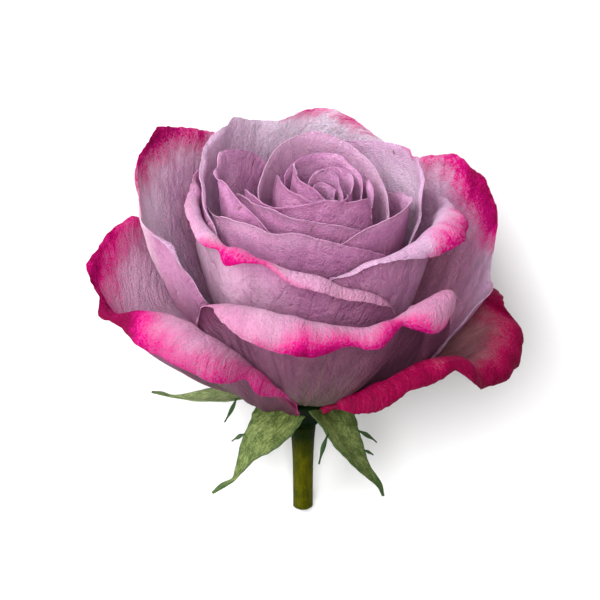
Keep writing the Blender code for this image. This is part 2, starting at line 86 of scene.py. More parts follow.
# Waves of a petal's margin: height, wave lengths, and how far in they fade
UP_AND_DOWN = (0.5, (26, 17, 11), 4.5)
IN_AND_OUT = (0.35, (15, 9), 2.5)
IN_AND_OUT_KNOWN = (0.1, (15, 9), 2.5)  # where MARGINS gives the margin's line
NICKS = (0.12, (4.1, 2.3), 1.2)
LIP, LIP_WIDTH = 0.4, 0.9  # how far the thin margin bends outward, and over what width
LIP_FREE = 20  # the lip fades within so much of the foot
MARGIN_WIDTH = 5  # how far in a margin's own line is felt
SWELL, SWELL_LENGTHS, SWELL_SLANT = 0.18, (13, 8), 0.35  # gentle swellings of the whole petal
SWELL_IN, SWELL_UP = 10, 12  # they fade within so much of the margin and of the foot
DROP_FROM, DROP_OVER = 0.3, 0.4  # share of the rows below which DROPS moves nothing
BLUSH_FALL = 1.6  # how sharply the magenta ends

# Sepals: a folded blade with side lobes
SEPAL_GRID = 81, 17
SEPAL_THICKNESS = 0.3
SEPAL_LEAST_HALF = 0.12
SEPAL_STATIONS = 13  # a lobe's place is counted in so many steps along the blade
TEETH, TEETH_LENGTHS = 0.025, (7.0, 2.7)
CURL, CURL_LENGTHS = 0.04, (14.0, 9.0)
FOLD, FOLD_ROUND = 0.25, 0.12
LOBE_ROWS, LOBE_OFFSET = 13, 4
LOBE_ROOT = 0.4  # how deep in the blade a lobe starts
LOBE_LEAST, LOBE_SWELL, LOBE_RIDGE = 0.14, 0.42, 0.12
LOBE_FULL = 5  # a shorter lobe is narrower
SIDE_DARK = (0.55, 0.45, 0.5)  # a dark edge's start, width and strength, across
END_DARK = ((0.35, 0.45, 0.22), (0.76, 0.12, 0.5))  # and along the sepal
LOBE_DARK = 0.85

# The hip below the petals, as (radius, height) from the stem upward, and the stem
HIP_PROFILE = ((3.0, -8.0), (3.5, -6.4), (4.4, -4.5), (5.8, -2.7), (7.3, -1.1), (8.1, 0.1))
DOME_RINGS = (8.2, 6.5, 4.5, 2.5)
HIP_ROWS, STEM_ROWS, TURNED_SIDES = 60, 40, 96
HIP_END, HIP_TIP = 0.4, 0.3  # radii at its lower end and at the top of the dome
HIP_WOBBLE, STEM_WOBBLE = 0.006, 0.008
JOINT_GAP = 0.3  # between the hip and the stem
STEM_LENGTH = 23.5
STEM_TOP_RADIUS = 3.1
STEM_END_RADIUS = 2.35
STEM_ASIDE = -0.5  # the stem stands a little to the left
STEM_BEVEL = 0.15
RIBS = ((5, 1, 0.7), (11, 0.6, 0), (3, 0.4, 2))  # of a turned shape: number, share and phase


# The petals from the heart outward: name, cup in degrees, colour, and the rim.
# A rim point is (azimuth, radius, height, turn, roll): its crest stands at that place, and the
# margin turns outward there through so many degrees round a curve of that radius.  Azimuth 0 is to
# the right.
MAUVE, LILAC, ROSE, WINE = "mauve", "lilac", "rose", "wine"
PETALS = (
    ("heart_1", 8, MAUVE, ((-25, 2.5, 57, 0, 1), (36, 1.5, 57, 0, 1), (123, 2, 57.5, 0, 1),
     (212, 2.5, 57, 0, 1), (247, 2, 57, 0, 1))),
    ("heart_2", 8, MAUVE, ((-46, 3.5, 55.5, 0, 1), (0, 2, 58, 0, 1), (60, 3, 59.5, 5, 1),
     (113, 3.5, 60, 5, 1), (180, 3.5, 58, 0, 1), (210, 3.5, 57.5, 0, 1))),
    ("heart_3", 8, MAUVE, ((-107, 5, 56, 0, 1), (-67, 5, 56.5, 0, 1), (-12, 5, 58.5, 10, 2),
     (34, 5.5, 59.5, 15, 2), (80, 5.5, 59.5, 0, 1), (107, 5, 58, 0, 1))),
    ("heart_4", 10, MAUVE, ((146, 8.5, 56, 0, 1), (150, 8.3, 61, 5, 1), (159, 7, 60, 5, 1),
     (172, 6, 59.5, 0, 1), (203, 4, 59, 0, 1), (247, 4, 59, 0, 1), (293, 6, 56.5, 0, 1))),
    ("heart_5", 10, MAUVE, ((-29, 10.5, 54.5, 0, 2), (-19, 9, 56, 0, 2), (7, 8.5, 58, 20, 3),
     (51, 8.5, 60, 25, 3), (67, 9, 61, 20, 3), (107, 10, 60.5, 15, 3), (142, 10, 59.5, 5, 2),
     (158, 10, 58, 0, 2))),
    ("heart_6", 12, MAUVE, ((165, 12, 51, 0, 2), (166, 12, 55, 0, 2), (170, 11, 59.5, 10, 2),
     (186, 10, 59.5, 0, 1), (228, 9, 59.5, 0, 1), (254, 8.5, 58, 0, 1), (281, 8, 56, 0, 1))),
    ("heart_curl", 12, MAUVE, ((-27, 12, 55.5, 0, 1), (-18, 11.5, 58, 40, 1.5), (0, 11, 58, 60, 2),
     (17, 10.5, 57.5, 45, 2), (27, 10, 56, 20, 2), (38, 9.5, 53, 0, 1))),
    ("heart_arch", 12, MAUVE, ((-27, 17.5, 51, 0, 2), (-18, 16, 53, 0, 2), (-4, 14.5, 55, 5, 3),
     (31, 13.5, 58, 5, 3), (68, 15.5, 60, 5, 3), (95, 18, 61.5, 5, 3), (120, 17.5, 61, 5, 3),
     (151, 15.5, 59, 5, 3), (188, 15, 56, 0, 3), (203, 15.5, 53.5, 0, 2))),
    ("wrap_1", 14, MAUVE, ((-174, 18.5, 56.5, 0, 2), (-165, 19, 60, 0, 2), (-144, 17, 59, 0, 2),
     (-125, 14.5, 59.5, 0, 2), (-92, 12.5, 61.5, 5, 2), (-60, 12, 60, 5, 2), (-38, 12.5, 59, 10, 2),
     (-32, 13, 55, 0, 2), (-30, 14, 49.5, 0, 1))),
    ("wrap_2", 14, MAUVE, ((180, 20.5, 54, 0, 2), (190, 20.5, 58, 0, 2), (207, 19.5, 59, 0, 2),
     (227, 18.5, 60, 5, 2), (247, 17, 58.5, 5, 2), (277, 15, 56.5, 5, 2), (305, 15.5, 52, 0, 2),
     (323, 16.5, 47.5, 0, 2))),
    ("wrap_3", 14, MAUVE, ((-90, 17.5, 50.5, 0, 2), (-79, 17.5, 52.5, 5, 2), (-49, 18.5, 57, 20, 3),
     (-21, 20, 57.5, 25, 3), (-11, 20.5, 57.5, 40, 3), (3, 19, 55, 30, 3), (16, 18.5, 53, 10, 3),
     (34, 17.5, 49.5, 0, 2))),
    ("wrap_4", 14, MAUVE, ((127, 19, 52, 0, 2), (137, 20, 57, 0, 2), (156, 22.5, 62.5, 10, 3),
     (169, 25, 63.5, 15, 2), (184, 25.5, 62.5, 35, 2), (202, 24.5, 63, 15, 3), (222, 23, 60, 0, 2),
     (233, 22, 57, 0, 2), (240, 20.5, 52.5, 0, 2))),
    ("wrap_5", 16, MAUVE, ((180, 27.5, 53, 0, 2), (197, 27, 55, 15, 2), (208, 26, 57, 25, 2),
     (222, 25.5, 58.5, 20, 2), (237, 24.5, 58, 5, 2), (262, 22, 57.5, 10, 2), (297, 21, 52, 10, 2),
     (313, 21.5, 48.5, 5, 2), (328, 22.5, 43.5, 0, 2))),
    ("wrap_6", 18, LILAC, ((-44, 23, 43, 0, 3), (-31, 23, 49, 20, 3), (-10, 23, 56.5, 35, 3),
     (10, 23, 60.5, 35, 3), (28, 23, 62, 20, 3), (46, 22.5, 60, 20, 3), (73, 22.5, 58, 10, 3),
     (89, 22, 54.5, 0, 3))),
    ("crown", 20, LILAC, ((49, 28, 51, 0, 4), (63, 29.5, 55.5, 10, 4), (81, 30.5, 59.5, 20, 4),
     (97, 31.5, 60.5, 20, 4), (115, 31, 59, 5, 4), (135, 31.5, 63.5, 20, 4), (148, 30.5, 63, 40, 4),
     (168, 30, 62, 55, 4), (185, 29.5, 60.5, 55, 4), (202, 29, 56.5, 40, 4),
     (221, 27.5, 50, 0, 4))),
    ("cup_right", 22, LILAC, ((-106, 19.5, 36.5, 0, 1), (-98, 22, 43, 0, 1), (-91, 24, 48.5, 30, 1),
     (-82, 25.5, 52, 80, 2), (-60, 28, 53.5, 125, 2.5), (-35, 29.5, 53.5, 135, 4),
     (-12, 31, 54, 110, 4.5), (10, 28.5, 52, 40, 4), (24, 27, 50, 20, 4), (39, 27, 46.5, 0, 3))),
    ("cup_left", 22, LILAC, ((154, 27, 55, 0, 3), (178, 27.5, 56.5, 90, 5), (202, 29, 55.5, 120, 5),
     (213, 29.5, 55, 125, 3.8), (226, 30, 54, 125, 3), (239, 30, 53.5, 115, 2.5),
     (264, 29, 50.5, 120, 2.5), (287, 29.5, 45.5, 105, 2), (304, 29.5, 40.5, 85, 1.6),
     (318, 28.5, 29.5, 0, 1.5))),
    ("back", 24, ROSE, ((34, 29, 28, 10, 3), (50, 34, 43, 50, 3), (72, 37, 50, 110, 4),
     (90, 37.5, 51, 125, 4), (108, 37, 50, 110, 4), (130, 34, 43, 50, 3), (146, 29, 28, 10, 3))),
    ("upper_right", 24, LILAC, ((-22, 29.5, 15.5, 0, 3), (-15, 35, 24.5, 5, 3),
     (-6, 41.5, 31.5, 15, 3), (1, 42, 39.5, 20, 3), (9, 42.5, 45.5, 20, 4), (19, 41, 50.5, 30, 4),
     (32, 38, 54.5, 30, 4), (48, 36.5, 49.5, 20, 4), (60, 37, 41, 0, 4))),
    ("upper_left", 24, LILAC, ((122, 36.5, 49, 0, 4), (143, 41.5, 59.5, 20, 4),
     (156, 45, 63.5, 30, 4), (169, 46, 61, 35, 4), (184, 43.5, 51.5, 40, 4), (198, 39.5, 50, 60, 3),
     (206, 38.5, 50.5, 50, 2), (215, 34.5, 41.5, 15, 2), (220, 28, 30.5, 0, 2))),
    ("front", 28, ROSE, ((-148, 30.5, 23.5, 0, 2), (-140, 36, 38, 40, 2), (-126, 37, 43, 120, 4),
     (-109, 38, 44.5, 145, 5.5), (-89, 37.5, 42.5, 155, 5), (-74, 37.5, 41, 135, 4),
     (-62, 37, 41.5, 135, 3), (-43, 36.5, 44.5, 155, 4.5), (-35, 37, 43.5, 115, 3),
     (-30, 37, 34, 20, 2), (-28, 33, 22, 0, 2))),
    ("guard_left", 24, ROSE, ((92, 34, 22, 10, 3), (99, 43, 32, 80, 4), (109, 46, 35, 130, 5),
     (123, 46, 35, 130, 5), (135, 43, 32, 80, 4), (144, 34, 22, 10, 3))),
    ("guard_right", 24, ROSE, ((36, 34, 22, 10, 3), (45, 43, 32, 80, 4), (57, 46, 35, 130, 5),
     (71, 46, 35, 130, 5), (81, 43, 32, 80, 4), (88, 34, 22, 10, 3))),
    ("lower_right", 8, WINE, ((-66, 13, 3, 20, 1), (-57, 26, 15.5, 110, 2), (-46, 36, 24.5, 130, 3),
     (-41, 39.5, 26.5, 130, 3), (-33, 41, 24, 105, 3), (-26, 39.5, 19.5, 110, 6),
     (-18, 42, 18.5, 115, 6.5), (-10, 45, 20, 105, 6), (-3, 45.5, 22.5, 85, 5.5),
     (8, 43, 24.5, 45, 4.5), (22, 38, 21, 0, 3))),
    ("lower_left", 22, ROSE, ((152, 38, 28, 0, 3), (161, 44.5, 39.5, 15, 4),
     (174, 51.5, 41.5, 30, 4), (185, 55.5, 37.5, 35, 4), (191, 54, 35, 45, 4),
     (199, 51.5, 32.5, 60, 4.5), (206, 47, 35.5, 135, 5), (216, 43, 36.5, 155, 6.5),
     (233, 38, 32.5, 155, 5.5), (250, 25, 18.5, 110, 2), (263, 13, 3, 20, 1))),
)

# The sepals: name, then points (azimuth, radius, height, half width) from the foot to the tip, and
# the side lobes (which side, which station of the blade, length, droop).
SEPALS = (
    ("front_left", ((-123, 7.6, -0.7, 6), (-128.5, 12.8, -4, 6.2), (-136.5, 17.1, -8.3, 3.5),
     (-139.5, 20.1, -12.9, 1.5), (-140, 22.1, -15.3, 0.6), (-143, 24.5, -16.8, 0.8),
     (-145, 26.9, -18.4, 0.3)),
     ((-1, 3.1, 5.6, 0.8),)),
    ("front_right", ((-49, 7, -0.5, 5.4), (-51, 13.3, -4, 4.6), (-48, 16.7, -8.5, 3.2),
     (-45, 20.1, -12.6, 1.7), (-41.5, 23.2, -15.8, 0.9), (-42.5, 25.2, -18.2, 0.3)),
     ((1, 2.8, 6.4, 0.5), (1, 5, 2.6, 0.3), (-1, 1.8, 6, 0.5))),
    ("left", ((176, 8.3, -1, 2.4), (176, 14, -1.2, 3.4), (175, 20, -2.1, 3.3), (175, 25, -2.7, 2.5),
     (174, 29.3, -3.2, 1), (174, 32, -3.1, 0.5), (173, 34.5, -2.9, 0.7), (173, 36.9, -2.6, 0.3)),
     ((1, 1.7, 5.2, 1.6),)),
    ("right", ((33, 8.3, -1, 3), (34, 14, -1.6, 4.4), (35, 19, -2.4, 3.6), (36, 24, -2.8, 2.3),
     (37, 28, -2.6, 0.9), (38, 31, -2, 0.3)),
     ((1, 3, 3.5, 0.3), (-1, 4, 3, 0.3))),
    ("back", ((108, 8.3, -1, 3), (108, 12, -0.8, 4.4), (107, 16, 0.2, 3.6), (106, 19.5, 1.8, 2.3),
     (105, 22.5, 3.6, 0.9), (104, 24.5, 5, 0.3)),
     ((-1, 4, 3, 0.2),)),
)

# The tables below go by columns: first the places along the rim, from 0 to 1000, and then what
# holds there.  A column of one number is the same all along.
# How far single margins run out beyond the plain rim: places, distances
MARGINS = {
    "lower_left": (
      (110, 125, 150, 200, 250, 280, 300, 320, 340, 355, 375, 400, 425, 445, 475, 500, 580, 630,
       690, 750, 775, 790, 820, 870, 920),
      (0, 1.4, 0, -0.9, -1.9, -0.8, 0.3, -2.1, -2, -2.6, -1.3, 0, 2.8, 0.8, -0.6, 0.2, 0.2, 0.7,
       1.8, 1.3, -1.2, 1.8, 2.7, 1.6, 0)),
    "lower_right": (
      (0, 40, 70, 100, 120, 150, 200, 250, 275, 300, 330, 350, 375, 402, 425, 450, 475, 500, 550,
       600, 625, 655, 675, 700, 725, 750, 775, 800, 825, 860, 900, 950, 1000),
      (6, 6.5, 4.7, 3.8, 3.6, 4, 3.8, 3, 1.7, 1.6, 2.1, 1.8, 1.7, 0.1, 1.7, 3.6, 3.9, 3.2, 1.2, 0.6,
       0.4, -0.6, 1.9, 0.6, 0.3, 1.8, 1, -2.8, -2, 1, 2.3, 1.5, 0)),
    "front": (
      (190, 240, 300, 380, 450, 480, 525, 550, 575, 600, 625, 650, 675, 700, 725, 750, 800, 850,
       900),
      (0, 1.3, 2.3, 2.7, 2.1, 1.5, -0.3, 0.8, 2.4, 2.6, 1.2, -0.7, 1.6, 3.7, 4.4, 3.2, 1.5, 1.3,
       0)),
    "upper_left": (
      (0, 100, 125, 150, 175, 200, 250, 275, 300, 320, 350, 375, 400, 420, 450, 475, 500, 525, 550,
       600, 700, 750, 780, 850),
      (2, 1.9, 1.1, 0.6, 0.2, 0.2, -0.4, -0.9, -0.4, -1.6, -2.3, -2.2, -1.6, -1.6, -1.7, -0.6, -0.5,
       -1.8, -2.8, -1, 0.5, 0.9, -0.3, 0)),
    "upper_right": (
      (300, 325, 350, 375, 400, 425, 450, 475, 500, 575, 600, 625, 670, 700, 730, 760, 800, 900,
       1000),
      (-0.5, -2.4, -2.1, -1.7, -1.9, -2.1, -1.7, -0.8, -0.2, 0, 0.8, 0.9, 0.1, 0.5, 0.9, 1.7, 1.8,
       1.9, 1.5)),
    "crown": (
      (50, 75, 100, 125, 150, 200, 225, 250, 300, 375, 400, 420, 470, 495, 530, 570, 600, 800, 900),
      (-0.5, -1, -1.2, -1.1, -0.4, -0.1, 0.3, -0.1, -0.9, -0.7, -0.4, -0.5, -0.6, 0, -1.5, -0.3, 0,
       -0.8, -1)),
    "cup_left": (
      (0, 140, 200, 270, 300, 320, 350, 375, 400, 425, 450, 475, 510, 550, 600, 650, 750, 820, 900),
      (0, 0.5, 0.4, -0.2, 0.3, 1.5, 1.4, -0.5, 0.6, 3.3, 2.2, 0.5, -0.6, 0.3, 1.7, 2.1, 1.6, 1.9,
       0)),
    "cup_right": (
      (140, 190, 220, 250, 280, 330, 400, 450, 500, 570, 600, 630, 675, 700, 750, 850),
      (0, -1.4, 0, 0, -0.6, -1, -0.8, 0, 1.8, 2.8, 3.6, 2.5, 2.8, 1.2, 0.2, 0)),
    "wrap_6": (
      (220, 300, 400, 500, 530, 550, 575, 600, 650, 700, 750, 850, 920),
      (0.3, -0.6, 0.1, -1.1, -0.4, -1.6, -2.2, -1, -0.7, -0.3, -0.5, -0.9, -0.3)),
    "wrap_4": (
      (200, 300, 360, 400, 450, 500, 540, 600, 660, 800),
      (0, -0.5, 0.3, 1.2, -0.6, 0.7, 0, 0.7, -0.4, 0)),
}

# The magenta margins: places, depths, strengths
BLUSH = {
    "lower_left": (
      (100, 170, 260, 360, 440, 490, 530, 570, 630, 730, 780, 850, 1000),
      (4, 8, 12, 15, 12, 11, 9, 7, 6, 6, 6, 9, 6),
      (0.6, 0.9, 1.05, 1.35, 1.5, 1.45, 1.1, 0.8, 0.75, 0.8, 0.85, 0.7, 0.6)),
    "lower_right": (
      (0, 300, 420, 550, 700, 800, 900, 1000), (13, 12, 9, 8, 8, 8, 8, 5),
      (1.05, 1.2, 1.15, 1.3, 1.4, 1.3, 1.1, 0.7)),
    "front": (
      (0, 280, 360, 430, 500, 560, 620, 680, 730, 780, 1000),
      (2, 2, 2.5, 5, 5, 3, 4, 3.3, 1.8, 1.2, 1),
      (0.1, 0.2, 0.5, 1.2, 1.2, 0.8, 1, 1.05, 0.8, 0.2, 0.1)),
    "upper_left": (
      (0, 150, 270, 360, 440, 540, 620, 700, 1000), (3, 6, 9, 11, 9, 5, 2, 1, 1),
      (0.6, 0.8, 1.1, 1.2, 1, 0.5, 0.2, 0.05, 0.05)),
    "upper_right": (
      (0, 380, 460, 500, 620, 700, 800, 900, 1000), (1, 2, 6, 10, 11, 9, 6, 5, 3),
      (0.1, 0.2, 0.95, 1.3, 1.3, 1.1, 0.8, 0.6, 0.5)),
    "crown": (
      (0, 100, 160, 220, 280, 340, 380, 500, 540, 1000), (1, 1.5, 4, 2.5, 3, 2, 1, 1, 1, 1),
      (0.1, 0.3, 0.75, 0.6, 0.8, 0.4, 0, 0.2, 0, 0)),
    "cup_left": (
      (0, 310, 350, 440, 500, 570, 650, 1000), (1, 1, 3, 4, 2.5, 1.5, 1, 1),
      (0, 0.1, 0.9, 1, 0.8, 0.6, 0.2, 0)),
    "cup_right": (
      (0, 460, 510, 560, 640, 700, 760, 1000), (1, 1, 3, 4.5, 5, 3, 1, 1),
      (0, 0.1, 0.8, 1.05, 1.1, 0.6, 0.2, 0)),
    "wrap_6": ((0, 500, 570, 620, 700, 1000), (1, 1, 2, 1.5, 1, 1), (0, 0.1, 0.6, 0.5, 0.1, 0)),
    "back": (0, 6, 0.9),
    "guard_left": (0, 6, 0.9),
    "guard_right": (0, 6, 0.9),
}
PLAIN_BLUSH = (0, 0.6, 0)

# Painted light and shade: how much lighter (above 0) or darker (below 0) a petal is painted than
# its lamps leave it: places, widths of the margin, at the margin, farther in
PAINTED_LIGHT = {
    "lower_left": ((0, 420, 520, 1000), 7, -0.6, (0.3, 0.3, -0.2, -0.4)),
    "lower_right": (0, 5, -0.1, -0.5),
    "upper_left": (
      (0, 250, 380, 560, 640, 1000), (14, 14, 24, 28, 12, 10), (0.6, 0.8, 1.3, 1.3, 0.1, 0),
      (-0.5, -0.4, 0.2, 0.7, 0.2, 0.1)),
    "upper_right": ((0, 340, 450, 1000), (8, 10, 12, 12), (-0.2, 0.2, 0.5, 0.5), -0.6),
    "front": ((0, 250, 500, 1000), 7, (-0.4, -0.5, -0.5, -0.5), (0.9, 0.6, -0.2, -0.8)),
    "crown": ((0, 400, 600, 1000), (18, 15, 10, 10), (1.3, 0.8, 0.2, 0), (0.6, 0.2, 0, 0)),
    "cup_left": ((0, 500, 1000), 6, (-0.4, -0.4, -0.6), (0.9, 0.4, -1.1)),
    "cup_right": (0, 6, -0.1, 0),
    "wrap_6": (0, 5, 0.1, 0.45),
    "heart_arch": (0, 9, 0.4, 0),
    "wrap_2": (0, 6, 0.2, -0.8),
    "wrap_3": (0, 6, 0.2, -0.8),
    "wrap_5": ((0, 500, 1000), 6, (0.4, 0.3, -0.1), (0.1, -0.1, -1.1)),
}
NO_PAINTED_LIGHT = (0, 8, 0, 0)

# How far a petal's upper part is lowered: places, distances
DROPS = {
    "cup_right": (
      (120, 150, 170, 200, 250, 300, 350, 400, 450, 500, 550),
      (0, 0.8, 2.2, 4.4, 3.4, 2.7, 1.9, 1.4, 0.9, 0.3, 0)),
    "lower_left": ((420, 500, 860, 950, 1000), (0, -0.5, -0.5, -1.4, -1.6)),
    "lower_right": ((0, 60, 130), (-1.1, -0.9, 0)),
}

# Petal skins: plain, deep, painted lit tint, painted shaded tint, margin, darkest margin and foot.
# Then how far up the foot's colour runs, how wrinkled the skin is, and how strong its veins are.
MAGENTA, CRIMSON = "e00686", "740030"
PETAL_SKINS = {
    "mauve_face": ("e4aad4", "cc8abc", "f2d4e8", "b06898", MAGENTA, CRIMSON, "be8ca0", 12, 0.5,
      0.2),
    "lilac_face": ("e6bede", "d6a0cc", "fae8fa", "c2688e", MAGENTA, CRIMSON, "be96a0", 12, 0.5,
      0.2),
    "rose_face": ("e2aece", "d290b8", "eee0f5", "c4709c", MAGENTA, CRIMSON, "ac8082", 18, 0.5, 0.2),
    # wine: the lower right petal's darker, browner skin, partly own colour, partly painted shade
    "wine_face": ("cc8e9c", "ac647a", "dcb0ba", "925a58", "b80454", "760030", "827250", 28, 0.5,
      0.2),
    "mauve_back": ("e29ecc", "c67eb2", "f0d0e4", "9c5a84", MAGENTA, CRIMSON, "be8ca0", 12, 0.5,
      0.2),
    "lilac_back": ("de9ec8", "c67cb0", "f6d0e6", "9c5880", MAGENTA, CRIMSON, "a08c78", 16, 0.7,
      0.2),
    # rose backs and their long dark foot: partly own colour, partly painted shade facing down
    "rose_back": ("a8628a", "8a466e", "d892bc", "703450", "c41870", CRIMSON, "4e4e2c", 50, 0.6,
      0.6),
    # the wine back likewise: partly own colour, partly painted shade
    "wine_back": ("b06e82", "8c5064", "c896aa", "6e424c", "c40854", "78002c", "6e6446", 22, 0.5,
      0.2),
}
SCAR_BROWN = "805846"

# Green skins: light, dark and edge, then the fibres' stretch and contrast, and the shine
EDGE_GREEN = "14421c"
GREEN_SKINS = {
    "sepal_upper": ("b6c28c", "566e2e", EDGE_GREEN, 0.35, 0.26, 0.2),
    "sepal_lit": ("96a562", "324812", EDGE_GREEN, 0.35, 0.22, 0.2),
    "sepal_shaded": ("808c52", "364a14", EDGE_GREEN, 0.35, 0.24, 0.2),
    "sepal_under": ("708042", "425422", EDGE_GREEN, 0.35, 0.26, 0.2),
    # the hip's green is painted near black: painted shade under the petals and sepals
    "hip_skin": ("0c2404", "051402", "041201", 0.4, 0.3, 0.03),
    "stem_skin": ("625c01", "2e3c01", "061a01", 0.12, 0.3, 0.05),
}
SEPAL_SKINS = {"front_left": "sepal_lit", "front_right": "sepal_shaded"}  # others: sepal_upper

# The floor, the lamps as (name, place and size in metres, power), and the camera
FLOOR_REACH = 0.42
LAMPS = (("front", (-0.1, 0.0, 1.2), 0.7, 11.3), ("key", (-0.74, 0.74, 0.65), 0.6, 11.7),
         ("side", (-1.1, -0.4, 0.4), 0.6, 7.0))
LAMP_TARGET = (0, 0, 0.04)
GLOW_SIDE = (-0.3, 0.4, 0.86)  # more of the world's soft light comes from this side
GLOW = (-0.6, 1.0, 0.2, 0.52)  # from and to: how far on that side, and how strong
CAMERA_ELEVATION = math.radians(32)
CAMERA_DISTANCE = 2.5
PHOTO_WIDTH, PIXELS_PER_MM = 600, 4.2
VIEW_MIDDLE = (-1.19, 22.14)  # of the view, right and up from the bloom's base
SENSOR_WIDTH = 36


def place(azimuth, radius, height, lean=BLOOM_LEAN):
    """Turn azimuth in radians, radius and height into a point of the upright flower."""
    height = height + 0 * azimuth
    x = radius * np.cos(azimuth) + lean * height
    return np.stack([x, radius * np.sin(azimuth), height], -1)


def norms(vectors):
    """Return the length of each vector."""
    return np.linalg.norm(vectors, axis=-1)


def run_along(points):
    """Return how far along a line each of its points stands."""
    return np.r_[0, np.cumsum(norms(np.diff(points, axis=0)))]


def rim_curve(points, count):
    """Return evenly spaced rows of a Catmull-Rom curve through a rim, and the curve's length."""
    samples = CURVE_STEPS * (len(points) - 1) + 1
    fine = spline_weights(len(points), samples) @ np.array(points, float)
    run = run_along(place(np.radians(fine[:, 0]), fine[:, 1], fine[:, 2], 0))
    at = np.linspace(0, run[-1], count)
    return np.stack([np.interp(at, run, column) for column in fine.T], 1), run[-1]


def petal_section(foot, crest, turn, roll, cup, rows):
    """Return radius and height from the foot, up the cup and round the rolled margin."""
    foot, crest = np.array(foot), np.array(crest)
    turn = math.radians(max(turn, LEAST_TURN))
    roll = max(LEAST_ROLL, min(roll, ROLL_SHARE * math.dist(foot, crest)))
    neck = crest
    for _ in range(NECK_PASSES):
        slope = math.atan2(*(neck - foot)[::-1])
        span = math.dist(foot, neck)
        bend = math.radians(cup) * min(1.0, span / FULL_CUP_SPAN)
        rise = slope + bend
        up = min(turn, max(rise, 0.0))
        neck = crest - roll * np.array([math.sin(rise) - math.sin(rise - up),
                                        math.cos(rise - up) - math.cos(rise)])
    reach = span / 3 / max(math.cos(0.6 * bend), 0.5)
    start = foot + reach * np.array([math.cos(slope - bend), math.sin(slope - bend)])
    end = neck - reach * np.array([math.cos(rise), math.sin(rise)])
    t = np.linspace(0, 1, CUP_POINTS)[:, None]
    cup_line = ((1 - t) ** 3 * foot + 3 * t * (1 - t) ** 2 * start + 3 * t ** 2 * (1 - t) * end
                + t ** 3 * neck)
    angle = rise - np.linspace(0, turn, MARGIN_POINTS)[1:]
    margin = neck + roll * np.stack([math.sin(rise) - np.sin(angle),
                                     np.cos(angle) - math.cos(rise)], 1)
    line = np.vstack([cup_line, margin])
    # the rows crowd together where the line bends
    step = np.diff(line, axis=0)
    length = np.hypot(*step.T)
    heading = np.unwrap(np.arctan2(step[:, 1], step[:, 0]))
    weight = length / length.sum() + BEND_SHARE * np.abs(np.diff(heading, prepend=heading[0]))
    run = np.r_[0, np.cumsum(weight)]
    at = np.linspace(0, run[-1], rows)
    return np.interp(at, run, line[:, 0]), np.interp(at, run, line[:, 1])


def dome_height(radius):
    """Return the height of the receptacle's dome at a radius."""
    return DOME_HEIGHT * (1 - (radius / DOME_REACH) ** 2)


def petal_grid(rim, cup, foot_radius, claw, columns, rows):
    """Return rows x columns points of a petal's middle surface, before it is settled."""
    curve, _ = rim_curve(rim, columns)
    middle = (curve[0, 0] + curve[-1, 0]) / 2
    # the petal narrows to a claw at its foot
    width = claw + (1 - claw) * np.clip(np.linspace(0, 2, rows), 0, 1) ** CLAW_CURVE
    grid = np.zeros((rows, columns, 3))
    foot = (foot_radius, dome_height(foot_radius) + FOOT_CLEARANCE)
    for c, (azimuth, radius, height, turn, roll) in enumerate(curve):
        r, z = petal_section(foot, (radius, height), turn, roll, cup, rows)
        grid[:, c] = place(np.radians(middle + (azimuth - middle) * width), r, z)
    return grid


def grid_faces(rows, columns, first=0):
    """Return the quads of a grid whose points are numbered row by row."""
    corner = first + np.arange(rows - 1)[:, None] * columns + np.arange(columns - 1)
    return [(i, i + 1, i + columns + 1, i + columns) for i in corner.ravel().tolist()]


def with_midpoints(count):
    """Return the weights that turn so many points into them and the midpoints between."""
    own, place = np.eye(count), np.arange(2 * count - 1)
    return (own[place // 2] + own[(place + 1) // 2]) / 2


def blurred(field):
    """Return each value of a grid averaged with its four neighbours."""
    pad = np.pad(field, ((1, 1), (1, 1), (0, 0)), mode="edge")
    return (pad[:-2, 1:-1] + pad[2:, 1:-1] + pad[1:-1, :-2] + pad[1:-1, 2:] + 2 * field) / 6


def settle(grid, inner):
    """Push a petal outward until it clears the petals inside it."""
    points, faces = [], []
    for other in inner:
        faces += grid_faces(*other.shape[:2], len(points))
        points += [Vector(p) for p in other.reshape(-1, 3)]
    tree = BVHTree.FromPolygons(points, faces)
    along, across = with_midpoints(grid.shape[0]), with_midpoints(grid.shape[1])
    moved = np.zeros_like(grid)
    for _ in range(SETTLE_PASSES):
        fine = np.einsum("ij,jkc,lk->ilc", along, grid + moved, across)
        normal = np.cross(np.gradient(fine, axis=1), np.gradient(fine, axis=0))
        push = np.zeros_like(fine)
        for r, c in np.ndindex(fine.shape[:2]):
            point = Vector(fine[r, c])
            near, outward, _, distance = tree.find_nearest(point, SEARCH_REACH)
            if near is None or distance < 1e-6:
                continue
            away = point - near
            side = away.dot(outward)
            facing = outward.dot(Vector(normal[r, c]).normalized()) > FACING
            if facing and abs(side) > SQUARE_ON * distance:
                move = outward * max(PETAL_SPACING - side, 0)
            else:
                move = away.normalized() * max(PETAL_SPACING - distance, 0)
            push[r, c] = move
        size = norms(push)
        if size.max() < NEAR_ENOUGH:
            break
        hits = np.einsum("ij,il,lk->jk", along, (size > 0).astype(float), across)[..., None]
        step = np.einsum("ij,ilc,lk->jkc", along, push, across) / np.maximum(hits, 1)
        # the neighbours share the push, so that the petal bulges rather than dents
        soft = step
        for _ in range(2):
            soft = blurred(soft)
        moved += np.where(hits > 0, DIRECT * step + SHARED * soft, SPREAD * soft)
        moved += SMOOTHING * (blurred(moved) - moved)
        moved[0] = 0
    return grid + moved


